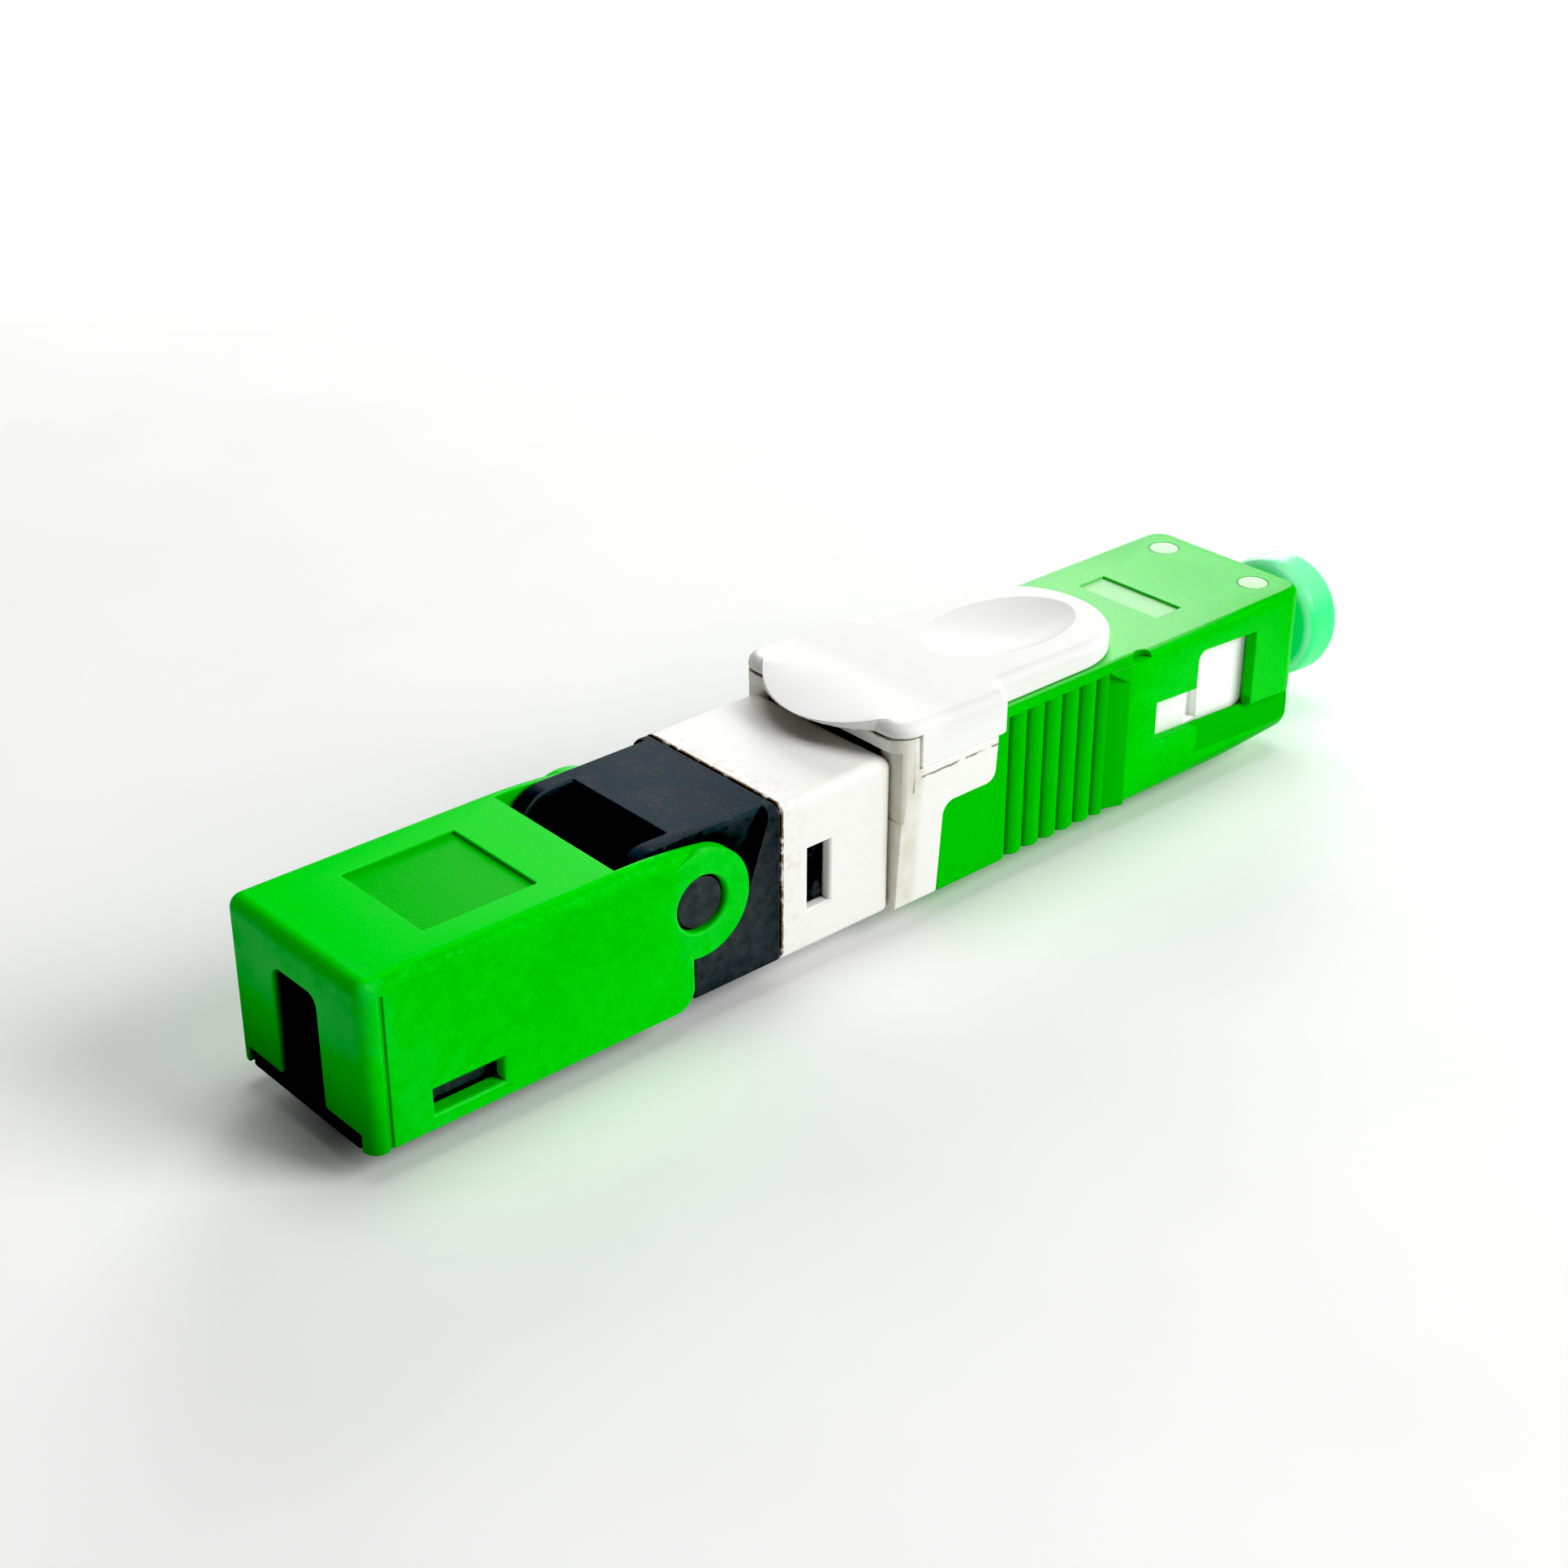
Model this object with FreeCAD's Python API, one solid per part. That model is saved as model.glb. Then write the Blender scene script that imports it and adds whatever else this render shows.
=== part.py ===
# Field-installable fibre connector: SC angled-polish plug with a mechanical splice and a flip-up cable
# clamp, for flat drop cable. Millimetres, +Z up, +X from the cable end to the ferrule.
# Pieces are drawn with X measured from near the tail, Y from the middle plane and Z from the tail's
# underside, then moved so that the origin is under the middle of the part.
import FreeCAD
import Part
import math
import os

Vector = FreeCAD.Vector

# Clearances
slide_gap = 0.08          # between pieces that slide on each other
seat_gap = 0.04           # between fixed pieces that bear on each other
press_gap = 0.01          # radial, round pieces pushed together
swing_gap = 0.2           # round the swinging hinge ears
cut_over = 1.0            # how far cutting tools reach past a face

# Optical axis and the standard plug section
axis_z = 3.48
grip_width = 9.0
grip_height = 7.55
grip_length = 23.55
key_width = 2.1
key_height = 0.92
key_length = 7.2
key_setback = 0.9

# Tail cover
hinge_x = 15.15
pivot_radius = 1.12
pivot_gap = 0.1
ear_radius = 2.35
ear_drop = 0.32           # ear's top below the roof
tail_reach = 15.5         # hinge axis to the rear face
tail_width = 9.0
tail_height = 7.2
tail_wall = 0.68
tail_roof = 0.9
tail_rear_wall = 1.0
tail_roof_back = 3.7      # roof edge behind the hinge axis
tail_front_back = 0.42    # front edge of the side walls behind the hinge axis
tail_toe = 0.9            # rounded lower front corner
tail_corner = 0.6
recess_length = 5.1
recess_width = 5.3
recess_depth = 0.15
recess_setback = 3.95     # from the rear face
cable_slot_width = 2.9
cable_slot_top = 5.45
cable_slot_corner = 0.5
latch_setback = 2.8       # from the rear face
latch_length = 3.1
latch_bottom = 0.71
latch_height = 1.1
seam_setback = 0.75
seam_width = 0.2
seam_depth = 0.1
press_rib_pitch = 2.2
press_rib_count = 3
press_rib_width = 0.6
press_rib_first = 3.0     # from the rear face

# Cable base
base_floor = 0.6
base_width = 8.5          # beside the collar
base_neck_width = 7.4     # between the hinge ears
cable_width = 2.0
cable_height = 3.1
jaw_wall = 0.9
jaw_length = 8.8
jaw_setback = 1.7         # from the rear face
tooth_count = 7
tooth_depth = 0.22
base_opening_width = 5.7
base_opening_front = 0.5  # opening's front edge behind the hinge axis
base_rail_back = 1.65     # top rails end this far behind the hinge axis
base_rail_end = 1.6       # rounding of the rails' rear ends
pocket_top_back = 0.5     # ear pocket's upper corner behind the collar
fibre_passage = 3.2

# Main body: collar, groove, pillars, arms, hump, trough
collar_setback = 4.25      # ahead of the hinge axis
collar_length = 6.1
collar_width = 8.5
collar_top = 7.22
collar_bottom = 0.09
collar_wall = 0.72
collar_corner = 0.5
collar_foot = 0.25         # rounding of the lower edges
snap_setback = 1.45       # window from the collar's rear face
snap_length = 1.15
snap_bottom = 1.92
snap_height = 2.8
snap_depth = 0.35         # how far the tab stays under the collar's outer face
groove_width = 0.5
groove_depth = 0.75
pillar_length = 1.95
pillar_width_low = 9.0
pillar_edge = 0.2         # rounding of the rear edges
foot_height = 4.2         # pillars' feet, which reach back to the collar
foot_slope = 0.65         # rise of their hollow upper ends
body_width = 9.9          # at the arms' upper edge
arm_reach = 3.0
arm_height = 2.23
arm_drop = 0.605          # arms' upper edge below the grip's top
arm_corner = 0.55
trough_width = 6.4
trough_rise = 2.52        # above the optical axis
trough_drop = 2.28        # below the optical axis
trough_wall = 0.9
trough_length = 11.3      # from the pillars' rear face
trough_front_wall = 1.3
bulkhead_length = 1.4
hump_overhang = 0.85      # behind the pillars
hump_gap = 0.33           # slot over the collar
hump_wall = 0.27
hump_corner = 1.0
lintel_length = 0.75
rail_width = 8.8
rail_height = 0.95

# Clamp slider
slider_width = 10.0
skirt_wall = 0.45
slider_length = 5.24
slider_rise = 1.5         # above the grip, at the skirts' rear edge
slider_slope = 1.8        # degrees, falling to the front
lip_reach = 2.6           # lip behind the skirts' rear edge
lip_radius = 4.9
plate_thickness = 0.55
tongue_width = 7.9
tongue_reach = 14.75      # tip ahead of the skirts' rear edge
shoulder_radius = 0.6
slider_edge = 0.45
scoop_radius = 20.0
scoop_start = 1.0         # scoop's front end ahead of the skirts' rear edge
scoop_slope = 5.5
dish_setback = 5.3        # middle of the dish behind the tip
dish_length = 8.4
dish_width = 5.0
dish_depth = 0.6
hook_length = 2.6
hook_height = 0.28
hook_reach = 0.2
slider_travel = 1.6
wedge_width = 2.7
wedge_length = 5.2
wedge_setback = 2.25      # ahead of the skirts' rear edge
wedge_slope = 0.15        # press block travel for each millimetre of slide

# Grip
rib_zone_width = 8.8
rib_zone_length = 11.58
grip_side_wall = 0.62
grip_roof_wall = 0.75
grip_floor_wall = 0.98
grip_floor_rise = 0.295   # the finger zone's underside above the front block's
grip_nose_rise = 0.26
grip_nose_length = 5.0
grip_corner = 0.95
grip_edge = 0.35
rib_setback = 4.32         # first groove ahead of the grip's rear edge
rib_pitch = 1.08
rib_count = 6
rib_groove_depth = 0.3
rib_top_gap = 0.36
band_depth = 0.35          # sunk band ahead of the ribs, running out to the front
band_fall = 0.8            # its upper end falls to the front
edge_chamfer_width = 0.4
edge_chamfer_drop = 0.32
edge_chamfer_overrun = 0.75 # past the finger zone
window_setback = 3.38     # behind the grip's front face
window_length = 6.6
window_tall_length = 3.95
window_sill = 2.8         # above the grip's underside, at the rear end
window_low_height = 1.9
window_tall_height = 3.75
window_fall = 3.4         # degrees, its edges fall to the front
window_corner = 0.5
hook_ramp_height = 1.44
hook_ramp_depth = 0.4
chamfer_end_radius = 0.5
label_length = 1.65
label_width = 4.7
label_depth = 0.12
label_setback = 7.97      # behind the grip's front face
mark_radius = 0.72
mark_depth = 0.07
mark_setback = 1.66
mark_spacing = 5.4
wedge_slot_gap = 0.35

# Plug frame
frame_overlap = 2.7       # over the trough's front end
frame_front_back = 0.6    # behind the grip's front face
frame_bore = 4.8
seat_setback = 7.2        # behind the grip's front face
seat_wall = 0.8
seat_hole = 3.5
spring_bore = 5.0
frame_notch_length = 0.75
frame_notch_depth = 0.4
frame_corner = 0.6

# Ferrule and its spring
ferrule_diameter = 2.5
ferrule_proud = 1.1       # tip beyond the grip's front face
ferrule_hold = 2.0        # length inside the flange
ferrule_chamfer = 0.35
polish_angle = 8.0
fibre_diameter = 0.125
fibre_bore = 0.15
flange_diameter = 4.5
flange_length = 1.2
flange_notch = 0.7
neck_diameter = 3.2
neck_length = 1.4
barrel_diameter = 2.9
barrel_length = 4.6
barrel_bore = 1.2
spring_wire = 0.36
spring_diameter = 3.8     # middle of the wire
spring_turns = 4
spring_sides = 5          # the fine wire is drawn as a flat-sided bar

# Splice
splice_setback = 1.7      # ahead of the pillars' rear face
splice_length = 8.0
splice_width = 3.2
splice_drop = 1.53        # below the optical axis
splice_rise = 1.27        # above the optical axis
groove_half_angle = 30.0
lid_gap = 0.2
lid_lift = 0.07           # lids' underside above the axis
clip_sheet = 0.25
clip_margin = 0.35
clip_slit = 0.5
block_length = 4.0
block_width = 2.6
block_foot = 0.4
block_stroke_room = 0.3
block_ridge = 0.88        # height at the wedge's rear end
guide_bore = 3.0
guide_flange = 3.8
guide_flange_length = 0.6
guide_mouth = 2.2
guide_throat = 0.4
guide_throat_length = 0.9

# Dust cap
cap_head_diameter = 5.95
cap_reach = 5.32          # ahead of the grip's front face
cap_drop = 0.06           # the loose cap hangs on the ferrule
cap_tilt = 3.5            # degrees, nose down
cap_head_length = 2.6
cap_head_edge = 0.7
cap_tube_diameter = 4.1
cap_neck_diameter = 3.6
cap_neck_length = 2.6
cap_bore_gap = 0.28
cap_tube_length = 5.0     # behind the grip's front face
cap_tip_room = 0.5

# Derived places
tail_rear = hinge_x - tail_reach
tail_half = tail_width / 2
hinge_z = tail_height - ear_drop - ear_radius
tail_roof_front = hinge_x - tail_roof_back
tail_front = hinge_x - tail_front_back
roof_under = tail_height - tail_roof
collar_rear = hinge_x + collar_setback
collar_front = collar_rear + collar_length
pillar_rear = collar_front + groove_width
pillar_front = pillar_rear + pillar_length
arm_front = pillar_front + arm_reach
trough_front = pillar_rear + trough_length
trough_top = axis_z + trough_rise
trough_bottom = axis_z - trough_drop
hump_rear = pillar_rear - hump_overhang
grip_top = axis_z + grip_height / 2
grip_bottom = axis_z - grip_height / 2
rib_zone_bottom = grip_bottom + grip_floor_rise
cavity_half = grip_width / 2 - grip_side_wall
cavity_top = grip_top - grip_roof_wall
cavity_bottom = grip_bottom + grip_floor_wall
grip_rear = pillar_front + slide_gap
grip_front = grip_rear + grip_length
arm_top = grip_top - arm_drop
arm_bottom = arm_top - arm_height
rib_zone_front = grip_rear + rib_zone_length
rib_first = grip_rear + rib_setback
rib_last = rib_first + (rib_count - 1) * rib_pitch
band_rear = rib_last + rib_pitch / 2
edge_chamfer_front = rib_zone_front + edge_chamfer_overrun
window_front = grip_front - window_setback
window_step = window_front - window_tall_length
window_rear = window_front - window_length
window_low = grip_bottom + window_sill
label_rear = grip_front - label_setback
frame_rear = trough_front - frame_overlap
seat_rear = grip_front - seat_setback
frame_front = grip_front - frame_front_back
frame_half = cavity_half - slide_gap
frame_top = cavity_top - slide_gap
frame_bottom = cavity_bottom + slide_gap
trough_half = trough_width / 2
skirt_inner = slider_width / 2 - skirt_wall
slider_rear = pillar_rear + hump_wall + slide_gap
slider_top = grip_top + slider_rise
plate_under = slider_top - plate_thickness
hump_top = plate_under - slide_gap
tongue_tip = slider_rear + tongue_reach
dish_middle = tongue_tip - dish_setback
wedge_start = slider_rear + wedge_setback
slider_front = slider_rear + slider_length
tongue_under = grip_top + slide_gap
lip_centre = slider_rear - lip_reach + lip_radius
ferrule_tip = grip_front + ferrule_proud
flange_front = seat_rear - seat_gap
flange_rear = flange_front - flange_length
barrel_rear = flange_rear - barrel_length
neck_front = flange_front + neck_length
ferrule_rear = neck_front - ferrule_hold
splice_rear = pillar_rear + splice_setback
splice_bottom = axis_z - splice_drop
splice_top = axis_z + splice_rise
splice_front = splice_rear + splice_length
splice_middle = (splice_rear + splice_front) / 2
clip_top = splice_top + seat_gap + clip_sheet
block_bottom = clip_top + block_stroke_room
wedge_low = block_bottom + block_ridge + slide_gap
block_rear = wedge_start + (wedge_length - block_length) / 2
splice_pocket_half = trough_half - trough_wall
cap_front = grip_front + cap_reach
cap_head_rear = cap_front - cap_head_length
cap_tube_rear = grip_front - cap_tube_length
cap_pivot = (cap_tube_rear + ferrule_tip) / 2
cap_lean = math.radians(cap_tilt)
cap_nose = cap_head_diameter / 2 - cap_head_edge - cap_drop
part_front = cap_pivot + (cap_front - cap_pivot) * math.cos(cap_lean) + cap_nose * math.sin(cap_lean)
part_middle = (tail_rear + part_front) / 2
part_bottom = grip_bottom - key_height


def block(x0, x1, y0, y1, z0, z1):
    return Part.makeBox(x1 - x0, y1 - y0, z1 - z0, Vector(x0, y0, z0))


def slab(x0, x1, half, z0, z1):
    return block(x0, x1, -half, half, z0, z1)


def rod_x(x0, x1, radius, z=axis_z, y=0.0):
    return Part.makeCylinder(radius, x1 - x0, Vector(x0, y, z), Vector(1, 0, 0))


def rod_y(y0, y1, radius, x, z):
    return Part.makeCylinder(radius, y1 - y0, Vector(x, y0, z), Vector(0, 1, 0))


def rod_z(z0, z1, radius, x, y):
    return Part.makeCylinder(radius, z1 - z0, Vector(x, y, z0), Vector(0, 0, 1))


def outline(items):
    # A closed wire from corner points, with an ("arc", middle, end) item where a stretch is round.
    edges = []
    start = items[0]
    here = start
    for item in items[1:] + [start]:
        if isinstance(item, tuple):
            edges.append(Part.Arc(here, item[1], item[2]).toShape())
            here = item[2]
        elif here.distanceToPoint(item) > 1e-7:
            edges.append(Part.LineSegment(here, item).toShape())
            here = item
    return Part.Wire(edges)


def side_prism(items, y0, y1):
    # A profile drawn in the X-Z plane, run across from y0 to y1.
    face = Part.Face(outline(items))
    face.translate(Vector(0, y0, 0))
    return face.extrude(Vector(0, y1 - y0, 0))


def end_prism(items, x0, x1):
    # A profile drawn in the Y-Z plane, run along from x0 to x1.
    face = Part.Face(outline(items))
    face.translate(Vector(x0, 0, 0))
    return face.extrude(Vector(x1 - x0, 0, 0))


def plan_prism(items, z0, z1):
    # A profile drawn in the X-Y plane, run up from z0 to z1.
    face = Part.Face(outline(items))
    face.translate(Vector(0, 0, z0))
    return face.extrude(Vector(0, 0, z1 - z0))


def turned_x(profile):
    # A solid turned about the optical axis from (x, radius) corners.
    points = [Vector(x, 0, axis_z + radius) for x, radius in profile]
    face = Part.Face(Part.makePolygon(points + [points[0]]))
    return face.revolve(Vector(0, 0, axis_z), Vector(1, 0, 0), 360)


def xz(x, z):
    return Vector(x, 0, z)


def yz(y, z):
    return Vector(0, y, z)


def xy(x, y):
    return Vector(x, y, 0)


def on_circle(centre_x, centre_z, radius, degrees):
    angle = math.radians(degrees)
    return xz(centre_x + radius * math.cos(angle), centre_z + radius * math.sin(angle))


def mirrored(shape):
    return shape.mirror(Vector(0, 0, 0), Vector(0, 1, 0))


def pair(shape):
    return [shape, mirrored(shape)]


def fuse_all(shape, others):
    return shape.fuse(others).removeSplitter()


def spans(edge, axis):
    # True where an edge runs along one axis only.
    box = edge.BoundBox
    lengths = {"x": box.XLength, "y": box.YLength, "z": box.ZLength}
    return all((value > 1e-4) == (name == axis) for name, value in lengths.items())


def rounded(shape, radius, axis, wanted):
    # Round the edges along one axis whose middle point passes the test.
    edges = [edge for edge in shape.Edges if spans(edge, axis) and wanted(edge.CenterOfMass)]
    return shape.makeFillet(radius, edges)


def near(value, target):
    return abs(value - target) < 1e-3


def tail_cover():
    half = tail_half
    inner = half - tail_wall
    ahead = hinge_x + ear_radius
    sweep = (tail_roof_back ** 2 + (ear_drop + ear_radius) ** 2 - ear_radius ** 2) / (2 * ear_drop)
    sweep_z = tail_height - sweep
    join = math.degrees(math.atan2(hinge_z - sweep_z, tail_roof_back))
    shell = side_prism([
        xz(tail_rear, 0),
        xz(ahead, 0),
        xz(ahead, hinge_z),
        ("arc", on_circle(hinge_x, hinge_z, ear_radius, join / 2),
         on_circle(hinge_x, hinge_z, ear_radius, join)),
        ("arc", on_circle(tail_roof_front, sweep_z, sweep, (join + 90) / 2),
         xz(tail_roof_front, tail_height)),
        xz(tail_rear, tail_height),
    ], -half, half)
    shell = rounded(shell, tail_corner, "z", lambda p: near(p.x, tail_rear))
    shell = rounded(shell, tail_corner, "x", lambda p: near(p.z, tail_height))

    shell = shell.fuse(pair(rod_y(inner, half, ear_radius, hinge_x, hinge_z)))

    behind = tail_rear + tail_rear_wall
    past = ahead + cut_over
    slant = math.sqrt(0.5)
    below_ear = side_prism([
        xz(tail_front - tail_toe, -cut_over),
        xz(past, -cut_over),
        xz(past, hinge_z),
        xz(ahead, hinge_z),
        ("arc", on_circle(hinge_x, hinge_z, ear_radius, -45),
         xz(tail_front, hinge_z - math.sqrt(ear_radius ** 2 - tail_front_back ** 2))),
        xz(tail_front, tail_toe),
        ("arc", xz(tail_front - tail_toe * (1 - slant), tail_toe * (1 - slant)),
         xz(tail_front - tail_toe, 0)),
    ], -tail_width, tail_width)
    tools = [
        below_ear,
        slab(behind, past, inner, -cut_over, roof_under),
        slab(tail_roof_front, past, inner, -cut_over, tail_height + cut_over),
        slab(tail_rear - cut_over, behind + cut_over, inner, -cut_over, base_floor + slide_gap),
        rod_y(-tail_width, tail_width, pivot_radius + pivot_gap, hinge_x, hinge_z),
    ]
    arch = slab(tail_rear - cut_over, behind + cut_over, cable_slot_width / 2, -cut_over, cable_slot_top)
    tools.append(rounded(arch, cable_slot_corner, "x", lambda p: near(p.z, cable_slot_top)))
    recess_rear = tail_rear + recess_setback
    tools.append(slab(recess_rear, recess_rear + recess_length, recess_width / 2,
                      tail_height - recess_depth, tail_height + cut_over))
    latch_rear = tail_rear + latch_setback
    tools.append(slab(latch_rear, latch_rear + latch_length, tail_width, latch_bottom,
                      latch_bottom + latch_height))
    seam_rear = tail_rear + seam_setback
    tools += pair(block(seam_rear, seam_rear + seam_width, half - seam_depth, half + cut_over,
                        -cut_over, tail_height - tail_corner))
    shell = shell.cut(tools)

    rib_bottom = base_floor + cable_height + slide_gap * 2
    ribs = []
    for number in range(press_rib_count):
        rib_x = tail_rear + press_rib_first + number * press_rib_pitch
        ribs.append(side_prism([
            xz(rib_x - press_rib_width, roof_under + tail_roof / 2),
            xz(rib_x + press_rib_width, roof_under + tail_roof / 2),
            xz(rib_x + press_rib_width / 4, rib_bottom),
            xz(rib_x - press_rib_width / 4, rib_bottom),
        ], -cable_width / 2, cable_width / 2))
    return fuse_all(shell, ribs)


def cable_base():
    half = base_width / 2
    neck_half = base_neck_width / 2
    pocket = ear_radius + swing_gap
    pocket_rear = tail_front + swing_gap
    drop = math.sqrt(pocket ** 2 - (hinge_x - pocket_rear) ** 2)
    front = collar_rear - seat_gap
    corner_x = front - pocket_top_back
    reach = math.hypot(corner_x - hinge_x, tail_height - hinge_z)
    corner_angle = math.degrees(math.atan2(tail_height - hinge_z, corner_x - hinge_x))
    touch_angle = corner_angle - math.degrees(math.acos(pocket / reach))
    start_angle = math.degrees(math.atan2(-drop, pocket_rear - hinge_x))
    flank = side_prism([
        xz(pocket_rear, collar_bottom),
        xz(front, collar_bottom),
        xz(front, tail_height),
        xz(corner_x, tail_height),
        on_circle(hinge_x, hinge_z, pocket, touch_angle),
        ("arc", on_circle(hinge_x, hinge_z, pocket, (touch_angle + start_angle) / 2),
         on_circle(hinge_x, hinge_z, pocket, start_angle)),
    ], -half, half)
    flank = rounded(flank, collar_corner, "x", lambda p: near(p.z, tail_height))
    flank = rounded(flank, collar_foot, "x", lambda p: near(p.z, collar_bottom))

    rail_rear = hinge_x - base_rail_back
    rail_centre = tail_height - base_rail_end
    neck_rear = rail_rear - base_rail_end
    neck = side_prism([
        xz(neck_rear, 0),
        xz(front, 0),
        xz(front, tail_height),
        xz(rail_rear, tail_height),
        ("arc", on_circle(rail_rear, rail_centre, base_rail_end, 135), xz(neck_rear, rail_centre)),
    ], -neck_half, neck_half)
    floor_rear = tail_rear + seat_gap
    floor = slab(floor_rear, hinge_x, tail_half - tail_wall - slide_gap, 0, base_floor)
    floor = rounded(floor, base_floor / 2, "z", lambda p: near(p.x, floor_rear))

    jaw_rear = tail_rear + jaw_setback
    jaw_front = jaw_rear + jaw_length
    jaw_half = cable_width / 2 + tooth_depth
    jaw_top = base_floor + cable_height
    jaw = block(jaw_rear, jaw_front, jaw_half, jaw_half + jaw_wall, 0, jaw_top)
    pitch = jaw_length / tooth_count
    teeth = []
    for number in range(tooth_count):
        tooth_rear = jaw_rear + number * pitch
        teeth.append(plan_prism([
            xy(tooth_rear, jaw_half + jaw_wall / 2),
            xy(tooth_rear, jaw_half),
            xy(tooth_rear + pitch, cable_width / 2),
            xy(tooth_rear + pitch, jaw_half + jaw_wall / 2),
        ], base_floor / 2, jaw_top))
    jaw = fuse_all(jaw, teeth)

    latch_rear = tail_rear + latch_setback + slide_gap
    latch_front = latch_rear + latch_length - slide_gap * 2
    latch_face = tail_half - tail_wall - seat_gap
    latch_root = jaw_half + jaw_wall / 2
    latch = end_prism([
        yz(latch_root, base_floor / 2),
        yz(latch_face, latch_bottom + slide_gap),
        yz(latch_face, latch_bottom + latch_height / 2),
        yz(latch_root, latch_bottom + latch_height - slide_gap),
    ], latch_rear, latch_front)

    opening_front = hinge_x - base_opening_front
    passage_half = fibre_passage / 2
    opening = slab(neck_rear - cut_over, opening_front, base_opening_width / 2, base_floor,
                   tail_height + cut_over)
    passage = slab(neck_rear - cut_over, collar_front, passage_half, axis_z - passage_half,
                   axis_z + passage_half)

    pivot = rod_y(neck_half - jaw_wall, tail_half - seam_depth * 2, pivot_radius, hinge_x, hinge_z)
    spigot_half = collar_width / 2 - collar_wall - seat_gap
    spigot_top = collar_top - collar_wall - seat_gap
    spigot_bottom = collar_bottom + collar_wall + seat_gap
    spigot_front = collar_front - bulkhead_length - guide_flange_length - seat_gap
    spigot = slab(front - cut_over, spigot_front, spigot_half, spigot_bottom, spigot_top)
    tab_rear = collar_rear + snap_setback + seat_gap
    tab = block(tab_rear, tab_rear + snap_length - seat_gap * 2, spigot_half - jaw_wall,
                collar_width / 2 - snap_depth, snap_bottom + seat_gap, snap_bottom + snap_height - seat_gap)

    body = neck.fuse([flank, floor, spigot]).cut([opening, passage])
    return fuse_all(body, pair(jaw) + pair(latch) + pair(pivot) + pair(tab))


def arm_outline(grow):
    # Pillar and arm as seen from the side; the grip's cut-out is the same outline grown by a clearance.
    rear = pillar_rear - grow
    front = pillar_front + grow
    reach = arm_front + grow
    low = arm_bottom - grow
    inner = arm_corner
    outer = arm_corner
    slant = math.sqrt(0.5)
    return [
        xz(rear, collar_bottom - grow),
        xz(front, collar_bottom - grow),
        xz(front, low - inner),
        ("arc", xz(front + inner - inner * slant, low - inner + inner * slant), xz(front + inner, low)),
        xz(reach - outer, low),
        ("arc", xz(reach - outer + outer * slant, low + outer - outer * slant), xz(reach, low + outer)),
        xz(reach, arm_top),
        xz(rear, arm_top),
    ]


def taper_between(rear, front):
    # One side's pillar width, from its foot up to the arm's upper edge.
    return end_prism([
        yz(trough_half - trough_wall, collar_bottom),
        yz(pillar_width_low / 2, collar_bottom),
        yz(body_width / 2, arm_top),
        yz(trough_half - trough_wall, arm_top),
    ], rear, front)


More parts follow.
